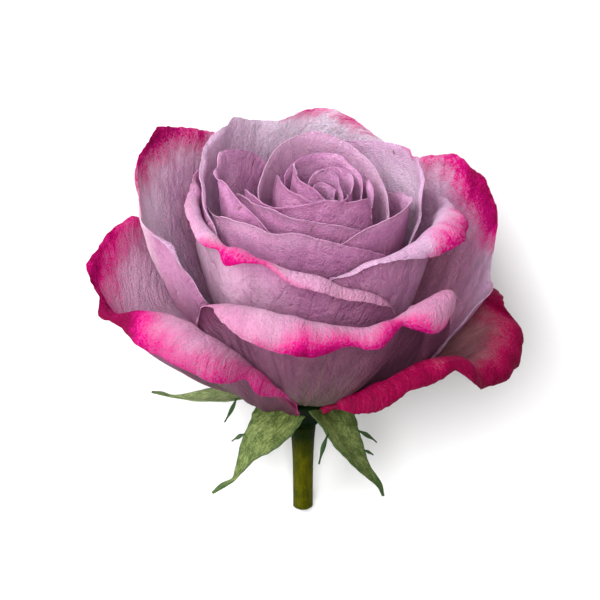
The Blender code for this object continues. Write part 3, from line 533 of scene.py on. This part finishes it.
def petal_feet():
    """Return each petal's foot radius and claw; of feet that would meet, one stands outside."""
    feet = []
    for i, (_, _, _, rim) in enumerate(PETALS):
        claw = CLAW_INNER + (CLAW_OUTER - CLAW_INNER) * i / (len(PETALS) - 1)
        middle = (rim[0][0] + rim[-1][0]) / 2
        half = abs(rim[-1][0] - rim[0][0]) / 2 * claw
        radius = FOOT_INNER
        for other_radius, _, other_middle, other_half in feet:
            apart = abs((middle - other_middle + 180) % 360 - 180)
            if apart < half + other_half + FOOT_MARGIN:
                radius = max(radius, other_radius + FOOT_SPACING)
        feet.append((radius, claw, middle, half))
    return [foot[:2] for foot in feet]


def spline_weights(count, samples, crowd=1.0):
    """Return the weights of a Catmull-Rom spline through evenly spaced values.

    It runs on at its ends.  A crowd above 1 takes more of the samples near the last value.
    """
    at = (count - 1) * (1 - np.linspace(1, 0, samples) ** crowd)
    first = np.clip(at.astype(int), 0, count - 2)
    f = at - first
    shares = np.stack([-f + 2 * f ** 2 - f ** 3, 2 - 5 * f ** 2 + 3 * f ** 3,
                       f + 4 * f ** 2 - 3 * f ** 3, f ** 3 - f ** 2], 1) / 2
    padded = np.zeros((samples, count + 2))
    for k in range(4):
        padded[np.arange(samples), first + k] += shares[:, k]
    weights = padded[:, 1:-1]
    weights[:, 0] += 2 * padded[:, 0]
    weights[:, 1] -= padded[:, 0]
    weights[:, -1] += 2 * padded[:, -1]
    weights[:, -2] -= padded[:, -1]
    return weights


def unit(vectors):
    """Return vectors of length one."""
    return vectors / np.maximum(norms(vectors), 1e-9)[..., None]


def all_petals():
    """Return each petal's settled coarse grid and its fine grid, from the heart outward."""
    coarse, fine = [], []
    for i, ((_, cup, _, rim), (foot_radius, claw)) in enumerate(zip(PETALS, petal_feet())):
        _, length = rim_curve(rim, 2)
        columns = min(MOST_COLUMNS, max(FEWEST_COLUMNS, round(length / COLUMN_WIDTH)))
        rows = INNER_ROWS if i < INNER_PETALS else OUTER_ROWS
        start = petal_grid(rim, cup, foot_radius, claw, columns, rows)
        end = settle(start, coarse) if coarse else start
        coarse.append(end)
        smooth = petal_grid(rim, cup, foot_radius, claw, FINE_COLUMNS, FINE_ROWS)
        shift = np.einsum("ij,jkc,lk->ilc", spline_weights(rows, FINE_ROWS), end - start,
                          spline_weights(columns, FINE_COLUMNS))
        crowded = spline_weights(FINE_ROWS, FINE_ROWS, MARGIN_CROWD)
        fine.append(np.einsum("ij,jkc->ikc", crowded, smooth + shift))
    return coarse, fine


def surface_centre(corners):
    """Return the middle of a surface given as triangles, (n, 3, 3)."""
    sides = corners[:, 1:] - corners[:, :1]
    area = norms(np.cross(sides[:, 0], sides[:, 1]))
    return (corners.mean(1) * area[:, None]).sum(0) / area.sum()


def node_centre(name):
    """Return the middle of a CAD node's surface, in metres."""
    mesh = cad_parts[name].data
    mesh.calc_loop_triangles()
    points = np.array([v.co[:] for v in mesh.vertices])
    return surface_centre(points[[t.vertices[:] for t in mesh.loop_triangles]])


def grid_centre(grid):
    """Return the middle of a grid's surface."""
    flat = grid.reshape(-1, 3)
    quads = np.array(grid_faces(*grid.shape[:2]))
    return surface_centre(flat[np.vstack([quads[:, [0, 1, 2]], quads[:, [0, 2, 3]]])])


def frame_pose(coarse):
    """Return the turn and shift that lay the upright flower down where the CAD petals are."""
    here = np.array([grid_centre(grid) for grid in coarse]) * MM
    there = np.array([node_centre("petal_" + petal[0]) for petal in PETALS])
    middle, goal = here.mean(0), there.mean(0)
    left, _, right = np.linalg.svd((here - middle).T @ (there - goal))
    flip = np.diag([1, 1, np.sign(np.linalg.det(left @ right))])
    turn = (left @ flip @ right).T
    return turn, goal - turn @ middle


def to_world(points):
    """Lay points of the upright flower, in millimetres, down in the frame."""
    return points * MM @ TURN.T + SHIFT


def waves(place, lengths, rng):
    """Return a sum of waves of these lengths along a line, between about -1 and 1."""
    total = 0
    for length in lengths:
        total = total + np.sin(2 * math.pi * (place / length + rng.random())) / len(lengths) ** 0.5
    return total


def fading(distance, reach):
    """Return how much is left, at a distance, of what fades over a reach."""
    return np.exp(-(distance / reach) ** 2)


def ramp(value, start, over):
    """Return how far a value has come, from 0 to 1, of what begins at the start."""
    return np.clip((value - start) / over, 0, 1)


def margin_waves(size, shape, rim, inside, rng):
    """Return waves along the rim that fade inward; the shape is (height, lengths, reach)."""
    height, lengths, reach = shape
    return height * size * waves(rim, lengths, rng) * fading(inside, reach)


def along_rim(place, table):
    """Read a table's columns at places along a rim from 0 to 1."""
    at, *columns = table
    at = np.atleast_1d(at) / 1000
    return [np.interp(place, at, np.broadcast_to(column, at.shape)) for column in columns]


def add(name, data):
    """Put a new object in the scene."""
    made = bpy.data.objects.new(name, data)
    bpy.context.scene.collection.objects.link(made)
    return made


def ruffled(grid, name, rng, ruffle):
    """Return a petal's grid with a wavy, bumpy margin, and each point's measures.

    They are its distances from the margin, from the foot and from the middle line, and its
    column's place along the rim.
    """
    if name in DROPS:
        rim = run_along(grid[-1])
        [drop] = along_rim(rim / rim[-1], DROPS[name])
        grid = grid.copy()
        grid[..., 2] -= drop * ramp(np.linspace(0, 1, len(grid))[:, None], DROP_FROM, DROP_OVER)
    steps = norms(np.diff(grid, axis=0))
    below = np.vstack([np.zeros((1, grid.shape[1])), np.cumsum(steps, axis=0)])
    inside = below[-1] - below
    along = unit(np.gradient(grid, axis=0))
    normal = unit(np.cross(np.gradient(grid, axis=1), along))
    rim = run_along(grid[-1])
    place = rim / rim[-1]
    lift = margin_waves(ruffle, UP_AND_DOWN, rim, inside, rng)
    shape = IN_AND_OUT_KNOWN if name in MARGINS else IN_AND_OUT
    out = margin_waves(ruffle, shape, rim, inside, rng)
    out = out + margin_waves(ruffle, NICKS, rim, inside, rng)
    lift = lift + LIP * fading(inside, LIP_WIDTH) * ramp(below, 0, LIP_FREE)
    swell = SWELL * waves(rim + SWELL_SLANT * inside, SWELL_LENGTHS, rng)
    lift = lift + swell * ramp(inside, 0, SWELL_IN) * ramp(below, 0, SWELL_UP)
    if name in MARGINS:
        [line] = along_rim(place, MARGINS[name])
        line[1:-1] = (line[:-2] + 2 * line[1:-1] + line[2:]) / 4
        out = out + line * fading(inside, MARGIN_WIDTH)
    moved = grid + out[..., None] * along + lift[..., None] * normal
    row_run = np.cumsum(norms(np.diff(grid, axis=1, prepend=grid[:, :1])), axis=1)
    return moved, inside, below, row_run - row_run[:, [grid.shape[1] // 2]], place


def skin_mesh(name, points, faces, **measures):
    """Make a smooth mesh that holds one number for each of its points under each name."""
    mesh = bpy.data.meshes.new(name)
    mesh.from_pydata(points.tolist(), [], faces)
    mesh.shade_smooth()
    for key, numbers in measures.items():
        layer = mesh.attributes.new(key, "FLOAT", "POINT")
        layer.data.foreach_set("value", np.asarray(numbers, np.float32).ravel())
    return mesh


def show(node, mesh, *skins):
    """Put a finished mesh in the scene in place of a CAD node."""
    made = add(node + "_skin", mesh)
    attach(made, "root")
    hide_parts(node)
    for skin in skins:
        mesh.materials.append(skin)
    return made


def add_shell(piece, thickness):
    """Give a surface its thickness, half to each side, with its second material behind."""
    shell = piece.modifiers.new("shell", "SOLIDIFY")
    shell.thickness = thickness * MM
    shell.offset = 0
    shell.material_offset = 1
    return shell


def petal_piece(index, grid, face, back):
    """Build one petal as a thin shell that is thinner at its margin."""
    name = PETALS[index][0]
    rng = np.random.default_rng(PETAL_SEED + index)
    ruffle = HEART_RUFFLE if index < HEART_PETALS else WRAP_RUFFLE
    if index >= INNER_PETALS:
        ruffle = OUTER_RUFFLE
    points, inside, below, across, place = ruffled(grid, name, rng, ruffle)
    laid = to_world(points.reshape(-1, 3))
    laid[:, 2] = np.maximum(laid[:, 2], BODY_THICKNESS / 2 * MM)  # nothing sinks into the floor
    depth, strength = along_rim(place, BLUSH.get(name, PLAIN_BLUSH))
    blush = strength * np.exp(-(inside / depth) ** BLUSH_FALL)
    # painted light and shade, lighter or darker than the lamps leave it, along the rim and inward
    width, near, far = along_rim(place, PAINTED_LIGHT.get(name, NO_PAINTED_LIGHT))
    shade = far + (near - far) * fading(inside, width)
    tone = np.full(inside.shape, rng.random())
    faces = [quad[::-1] for quad in grid_faces(*grid.shape[:2])]
    mesh = skin_mesh("petal_" + name, laid, faces, inside=inside, below=below, across=across,
                     blush=blush, shade=shade, tone=tone)
    piece = show("petal_" + name, mesh, face, back)
    thin = piece.vertex_groups.new(name="thickness")
    full = ramp(inside, 0, EDGE_WIDTH).ravel()
    for level in range(THICKNESS_LEVELS + 1):
        share = level / THICKNESS_LEVELS
        members = np.flatnonzero(np.abs(full - share) <= 0.5 / THICKNESS_LEVELS)
        thin.add(members.tolist(), share, "REPLACE")
    shell = add_shell(piece, BODY_THICKNESS)
    shell.vertex_group = "thickness"
    shell.thickness_vertex_group = EDGE_THICKNESS / BODY_THICKNESS
    shell.material_offset_rim = 0


def srgb(code):
    """Turn a colour's hex code into linear shares."""
    shares = [int(code[i:i + 2], 16) / 255 for i in (0, 2, 4)]
    return tuple(c / 12.92 if c <= 0.04045 else ((c + 0.055) / 1.055) ** 2.4 for c in shares)


def scaled(colour, share):
    """Return a colour made darker or lighter."""
    return tuple(min(1.0, c * share) for c in colour)


class Nodes:
    """The shader of a material or of the world, and the nodes that feed it."""

    def __init__(self, owner, shader="Principled BSDF"):
        owner.use_nodes = True
        self.owner, self.tree = owner, owner.node_tree
        self.shader = self.tree.nodes[shader]

    def put(self, value, socket):
        """Link an output to a socket, or set the socket to a plain value."""
        if hasattr(value, "is_output"):
            self.tree.links.new(value, socket)
        elif socket.type == "RGBA":
            socket.default_value = (*value, 1)
        else:
            socket.default_value = value

    def set(self, name, value):
        """Feed one of the shader's own sockets."""
        self.put(value, self.shader.inputs[name])

    def node(self, kind, inputs=(), output=0, **settings):
        """Add a node with what feeds its inputs and its own settings, and return an output."""
        made = self.tree.nodes.new("ShaderNode" + kind)
        for key, value in settings.items():
            setattr(made, key, value)
        for key, value in inputs.items() if isinstance(inputs, dict) else enumerate(inputs):
            self.put(value, made.inputs[key])
        return made.outputs[output]

    def value(self, name):
        """Read a number stored in the mesh."""
        return self.node("Attribute", output="Fac", attribute_name=name)

    def math(self, kind, a, b=0.0):
        return self.node("Math", (a, b), operation=kind)

    def swing(self, value, gain):
        """Turn a value between 0 and 1 into one that swings about 0."""
        return self.math("MULTIPLY", self.math("SUBTRACT", value, 0.5), gain)

    def vector(self, x, y, z):
        return self.node("CombineXYZ", (x, y, z))

    def noise(self, vector, scale, detail=3.0, rough=0.55):
        inputs = {"Vector": vector, "Scale": scale, "Detail": detail, "Roughness": rough}
        return self.node("TexNoise", inputs, "Fac")

    def spread(self, value, low, high, to_low=0.0, to_high=1.0):
        """Map a range of values to another, held at its ends."""
        return self.node("MapRange", (value, low, high, to_low, to_high))

    def mix(self, share, a, b, kind="MIX"):
        inputs = {0: share, 6: a, 7: b}
        return self.node("Mix", inputs, 2, data_type="RGBA", blend_type=kind)

    def bump(self, height, strength, distance, below=None):
        """Raise the surface by a pattern, over another bump."""
        inputs = {"Strength": strength, "Distance": distance * MM, "Height": height}
        if below is not None:
            inputs["Normal"] = below
        return self.node("Bump", inputs)


def petal_material(name, plain, deep, lit_tint, shaded_tint, magenta, dark, foot, foot_reach, wrinkled,
                   vein_share):
    """The skin of a petal: velvety cells, faint veins, and magenta that runs in from the margin."""
    s = Nodes(bpy.data.materials.new(name))
    inside, below, across = s.value("inside"), s.value("below"), s.value("across")
    tone = s.math("MULTIPLY", s.value("tone"), 40.0)
    flow = s.vector(across, inside, tone)
    # veins fan out from the foot, so they are read against the angle about it
    fan = s.math("DIVIDE", across, s.math("ADD", s.math("MULTIPLY", below, 0.045), 0.35))
    veins = s.noise(s.vector(fan, s.math("MULTIPLY", below, 0.05), tone), 0.9, 4.0, 0.65)
    folds = s.noise(s.vector(fan, s.math("MULTIPLY", below, 0.2), tone), 0.8, 2.0, 0.5)
    blotch = s.noise(flow, 0.2, 4.0)
    grain = s.noise(flow, 2.3, 2.0, 0.7)
    colour = s.mix(s.spread(blotch, 0.35, 0.68), plain, deep)
    # painted light and shade: a lit tint above 0 and a shaded tint below 0, broken up by blotches
    shade = s.math("ADD", s.value("shade"), s.swing(blotch, 0.6))
    colour = s.mix(s.spread(shade, 0.05, 0.95), colour, lit_tint)
    colour = s.mix(s.spread(shade, -0.95, -0.05, 1.0, 0.0), colour, shaded_tint)
    # the foot is greenish, with green running up the veins along the middle
    # on the rose backs the dark foot is partly painted shade, where the outer petals face down
    green = s.math("ADD", s.math("DIVIDE", below, foot_reach), s.math("MULTIPLY", veins, 0.9))
    middle = s.spread(s.math("ABSOLUTE", across), 3.0, 16.0, 1.0, 0.35)
    green = s.spread(green, 0.55, 1.4, 0.85, 0.0)
    colour = s.mix(s.math("MULTIPLY", green, middle), colour, foot)
    colour = s.mix(s.spread(veins, 0.5, 0.66, 0.0, vein_share), colour, scaled(deep, 0.6))
    # the magenta runs in from the margin, broken up by the veins and the grain
    run = blush = s.value("blush")
    for pattern, gain in ((veins, 0.8), (grain, 1.2), (blotch, 0.8)):
        run = s.math("ADD", run, s.swing(pattern, gain))
    reached = s.spread(blush, 0.04, 0.4)
    share = s.math("MULTIPLY", s.spread(run, 0.1, 0.92), reached)
    colour = s.mix(share, colour, magenta)
    colour = s.mix(s.spread(run, 0.85, 1.35, 0.0, 0.9), colour, dark)
    # a few thin brown scars lie along the veins
    other = s.math("ADD", tone, 9.0)
    scar = s.noise(s.vector(fan, s.math("MULTIPLY", below, 0.14), other), 1.1, 1.0)
    patch = s.noise(flow, 0.11, 1.0)
    scarred = s.math("MULTIPLY", s.spread(scar, 0.735, 0.76), s.spread(patch, 0.55, 0.62))
    colour = s.mix(s.math("MULTIPLY", scarred, 0.7), colour, srgb(SCAR_BROWN))
    # single cells are lighter or darker
    light = s.spread(grain, 0.34, 0.66, 0.76, 1.0)
    s.set("Base Color", s.mix(1.0, colour, light, "MULTIPLY"))
    # the skin is finely wrinkled
    crease = s.math("ABSOLUTE", s.math("SUBTRACT", folds, 0.5))
    fine = s.bump(grain, 1.0, 0.7)
    lined = s.bump(s.spread(crease, 0.0, 0.12), wrinkled, 0.4, fine)
    s.set("Normal", s.bump(blotch, 0.5, 0.9, lined))
    s.set("Roughness", s.spread(grain, 0.3, 0.7, 0.48, 0.66))
    s.set("Specular IOR Level", s.spread(share, 0.2, 1.0, 0.2, 0.05))
    s.set("Subsurface Weight", 0.35)
    s.set("Subsurface Radius", (1.0, 0.45, 0.7))
    s.set("Subsurface Scale", 0.6 * MM)
    return s.owner


def green_material(name, light, dark, edge, stretch, contrast, shine):
    """Green skin with lengthwise fibres, read from the mesh's place along and across."""
    s = Nodes(bpy.data.materials.new(name))
    along, across = s.value("inside"), s.value("across")
    fibre = s.noise(s.vector(across, s.math("MULTIPLY", along, stretch), 3.0), 2.2, 3.0)
    blotch = s.noise(s.vector(across, along, 9.0), 0.35, 3.0)
    grain = s.noise(s.vector(across, along, 5.0), 2.6, 3.0, 0.7)
    colour = s.mix(s.spread(fibre, 0.5 - contrast, 0.5 + contrast), dark, light)
    colour = s.mix(s.spread(blotch, 0.44, 0.62, 0.0, 0.6), colour, scaled(dark, 0.75))
    colour = s.mix(s.spread(grain, 0.5, 0.75, 0.0, 0.5), colour, scaled(light, 1.35))
    colour = s.mix(s.spread(grain, 0.5, 0.28, 0.0, 0.4), colour, scaled(dark, 0.6))
    # darker sepal sides, ends and lobes, and painted shade on the stem's top, take the edge colour
    edged = s.math("MULTIPLY", s.value("blush"), s.spread(grain, 0.3, 0.6, 0.7, 1.0))
    s.set("Base Color", s.mix(edged, colour, edge))
    fine = s.bump(grain, 0.4, 0.12)
    s.set("Normal", s.bump(fibre, 0.4, 0.2, fine))
    s.set("Roughness", s.spread(grain, 0.3, 0.7, 0.45, 0.62))
    s.set("Specular IOR Level", shine)
    return s.owner


def make_skins(maker, table, prefix=""):
    """Make the material of each row of a table; a row's texts are colours."""
    made = {}
    for name, row in table.items():
        row = (srgb(item) if isinstance(item, str) else item for item in row)
        made[name] = maker(prefix + name, *row)
    return made


def sepal_frame(path, rows):
    """Return so many rows of a sepal's spine, of its forward, side and up, and its half width."""
    azimuth, radius, height, half = (spline_weights(len(path), rows) @ np.array(path, float)).T
    angle = np.radians(azimuth)
    spine = place(angle, radius, height, 0)
    forward = unit(np.gradient(spine, axis=0))
    sideways = np.stack([-np.sin(angle), np.cos(angle), 0 * azimuth], 1)
    sideways = unit(sideways - forward * (sideways * forward).sum(1, keepdims=True))
    upward = np.cross(forward, sideways)
    return spine, forward, sideways, upward, np.maximum(half, SEPAL_LEAST_HALF)


def lobe_strip(base, forward, sideways, upward, side, length, droop):
    """Return a side lobe as rows of three points, with their ways out and across."""
    heading = unit(side * sideways + 0.9 * forward - droop * upward)
    tip = unit(heading + 0.5 * forward - 0.3 * upward)
    flat = unit(np.cross(upward, heading))
    points, inside, across = [], [], []
    for k in range(LOBE_ROWS):
        t = k / (LOBE_ROWS - 1)
        out = heading * (1 - 0.4 * t) + tip * 0.4 * t
        middle = base + length * 1.25 * t * out - LOBE_ROOT * heading
        bulge = math.sin(math.pi * min(1.0, 1.15 * t)) ** 2
        wing = LOBE_LEAST + LOBE_SWELL * bulge * min(1.0, length / LOBE_FULL)
        points += [middle - flat * wing, middle + upward * LOBE_RIDGE, middle + flat * wing]
        inside += [length * t] * 3
        across += [-wing, 0, wing]
    return points, inside, across


def sepal_piece(name, path, lobes, face, back, rng):
    """Build one sepal: a folded blade with toothed sides and thin side lobes."""
    rows, columns = SEPAL_GRID
    spine, forward, sideways, upward, half = sepal_frame(path, rows)
    length = run_along(spine)
    share = np.linspace(-1, 1, columns)
    wide = [half * (1 + TEETH * waves(length, TEETH_LENGTHS, rng)) for _ in range(2)]
    grid = np.zeros((rows, columns, 3))
    for c, side in enumerate(share):
        reach = wide[0 if side < 0 else 1] * side
        fold = FOLD * math.hypot(side, FOLD_ROUND) * half
        curl = CURL * half * side ** 2 * waves(length, CURL_LENGTHS, rng)
        grid[:, c] = spine + reach[:, None] * sideways + (fold + curl)[:, None] * upward
    points = list(grid.reshape(-1, 3))
    faces = [quad[::-1] for quad in grid_faces(rows, columns)]
    inside = list(np.repeat(length, columns))
    across = list((share[None, :] * half[:, None]).ravel())
    for side, station, reach, droop in lobes:
        row = round(station * (rows - 1) / (SEPAL_STATIONS - 1)) + LOBE_OFFSET
        quads = grid_faces(LOBE_ROWS, 3, len(points))
        faces += [quad if side > 0 else quad[::-1] for quad in quads]
        strip = lobe_strip(grid[row, -1 if side > 0 else 0], forward[row], sideways[row],
                           upward[row], side, reach, droop)
        for kept, more in zip((points, inside, across), strip):
            kept += more
    # the sides, the far end and the lobes are darker
    start, over, dark = SIDE_DARK
    sides = ramp(np.abs(share), start, over) ** 2 * dark
    way = length / length[-1]
    end = sum(ramp(way, start, over) * dark for start, over, dark in END_DARK)
    blade = np.maximum(sides[None, :], end[:, None]).ravel()
    blush = np.r_[blade, np.full(len(points) - len(blade), LOBE_DARK)]
    mesh = skin_mesh("sepal_" + name, to_world(np.array(points)), faces, inside=inside,
                     across=across, blush=blush)
    add_shell(show("sepal_" + name, mesh, face, back), SEPAL_THICKNESS)


def turned_piece(name, line, wobble, skin, aside=0.0):
    """Spin a line of (radius, height, blush) rows into a closed shape that isn't quite round."""
    radius, height, blush = np.array(line, float).T
    angle = np.linspace(0, 2 * math.pi, TURNED_SIDES, endpoint=False)
    ribs = 1 + wobble * sum(share * np.cos(count * angle + phase) for count, share, phase in RIBS)
    reach = radius[:, None] * ribs
    grid = np.stack([reach * np.cos(angle) + aside, reach * np.sin(angle),
                     np.repeat(height[:, None], TURNED_SIDES, 1)], 2)
    last = (len(line) - 1) * TURNED_SIDES
    a = np.arange(last)
    b = a - a % TURNED_SIDES + (a + 1) % TURNED_SIDES
    faces = np.stack([a, b, b + TURNED_SIDES, a + TURNED_SIDES], 1).tolist()
    ring = list(range(TURNED_SIDES))
    faces += [ring[::-1], [last + side for side in ring]]
    around = np.tile(np.abs(angle - math.pi) * radius.max(), len(line))
    mesh = skin_mesh(name, to_world(grid.reshape(-1, 3)), faces, across=around,
                     inside=np.repeat(height, TURNED_SIDES), blush=np.repeat(blush, TURNED_SIDES))
    show(name, mesh, skin)


coarse_grids, fine_grids = all_petals()
TURN, SHIFT = frame_pose(coarse_grids)

petal_skins = make_skins(petal_material, PETAL_SKINS, "petal_")
for index, grid in enumerate(fine_grids):
    colour = PETALS[index][2]
    petal_piece(index, grid, petal_skins[colour + "_face"], petal_skins[colour + "_back"])

green_skins = make_skins(green_material, GREEN_SKINS)
for index, (name, path, lobes) in enumerate(SEPALS):
    face = green_skins[SEPAL_SKINS.get(name, "sepal_upper")]
    rng = np.random.default_rng(SEPAL_SEED + index)
    sepal_piece(name, path, lobes, face, green_skins["sepal_under"], rng)

hip_bottom = HIP_PROFILE[0][1]
profile = [(HIP_END, hip_bottom), *HIP_PROFILE, *((r, dome_height(r)) for r in DOME_RINGS)]
smooth = spline_weights(len(profile), HIP_ROWS) @ np.array(profile, float)
hip_rows = [(max(radius, HIP_TIP), min(height, DOME_HEIGHT), 0) for radius, height in smooth]
turned_piece("hip", hip_rows, HIP_WOBBLE, green_skins["hip_skin"])

stem_top = hip_bottom - JOINT_GAP
stem_end = stem_top - STEM_LENGTH
stem_rows = [(STEM_END_RADIUS * 0.6, stem_end, 0.9), (STEM_END_RADIUS * 0.93, stem_end, 0.7)]
# the stem darkens towards its top: painted shade under the hip and sepals
for t in np.linspace(0, 1, STEM_ROWS):
    radius = STEM_END_RADIUS + (STEM_TOP_RADIUS - STEM_END_RADIUS) * t ** 3
    height = stem_end + STEM_BEVEL + (STEM_LENGTH - 2 * STEM_BEVEL) * t
    stem_rows.append((radius, height, min(1.0, max(0.0, 3.2 * t - 1.9))))
stem_rows.append((STEM_TOP_RADIUS * 0.9, stem_top, 1))
turned_piece("stem", stem_rows, STEM_WOBBLE, green_skins["stem_skin"], STEM_ASIDE)

# The floor is white to the camera and grey to the flower, so that it adds little light
floor_mesh = bpy.data.meshes.new("floor")
corners = ((-1, -1), (1, -1), (1, 1), (-1, 1))
floor_mesh.from_pydata([(x * FLOOR_REACH, y * FLOOR_REACH, 0) for x, y in corners], [],
                       [(0, 1, 2, 3)])
floor = add("floor", floor_mesh)
paint = Nodes(bpy.data.materials.new("floor_paint"))
speck = paint.noise(paint.node("TexCoord", output="Object"), 60.0)
white = paint.mix(speck, (0.97, 0.97, 0.97), (0.99, 0.99, 0.99))
seen = paint.node("LightPath", output="Is Camera Ray")
paint.set("Base Color", paint.mix(seen, (0.6, 0.6, 0.6), white))
paint.set("Roughness", 0.7)
paint.set("Specular IOR Level", 0.1)
floor_mesh.materials.append(paint.owner)

# The world is white to the camera, and elsewhere a soft light with a brighter side
world = bpy.data.worlds.new("studio")
bpy.context.scene.world = world
sky = Nodes(world, "Background")
sky.set("Color", (1, 1, 1))
seen = sky.node("LightPath", output="Is Camera Ray")
side = sky.node("TexCoord", output="Generated")
aim = sky.node("VectorMath", (side, GLOW_SIDE), "Value", operation="DOT_PRODUCT")
sky.set("Strength", sky.spread(seen, 0.0, 1.0, sky.spread(aim, *GLOW)))

for name, spot, size, power in LAMPS:
    lamp = bpy.data.lights.new(name, "AREA")
    lamp.size = size
    lamp.energy = power
    hung = add(name, lamp)
    hung.location = spot
    hung.rotation_euler = (Vector(spot) - Vector(LAMP_TARGET)).to_track_quat("Z", "Y").to_euler()

# The camera looks at the flower as the photo does, from a little above the bloom's base
view_width = PHOTO_WIDTH / PIXELS_PER_MM * MM
view_middle = np.array(VIEW_MIDDLE) * MM
back = np.array([0, -math.cos(CAMERA_ELEVATION), math.sin(CAMERA_ELEVATION)])
right = np.array([1.0, 0, 0])
up = np.cross(back, right)
eye = right * view_middle[0] + up * view_middle[1] + back * CAMERA_DISTANCE
lens = bpy.data.cameras.new("camera")
lens.sensor_width = SENSOR_WIDTH
lens.lens = SENSOR_WIDTH * CAMERA_DISTANCE / view_width
lens.clip_start = 0.01
camera = add("camera", lens)
pose = np.eye(4)
pose[:3, :3] = TURN @ np.stack([right, up, back], 1)
pose[:3, 3] = TURN @ eye + SHIFT
camera.matrix_world = Matrix(pose.tolist())
bpy.context.scene.camera = camera
bpy.context.scene.view_settings.view_transform = "Standard"
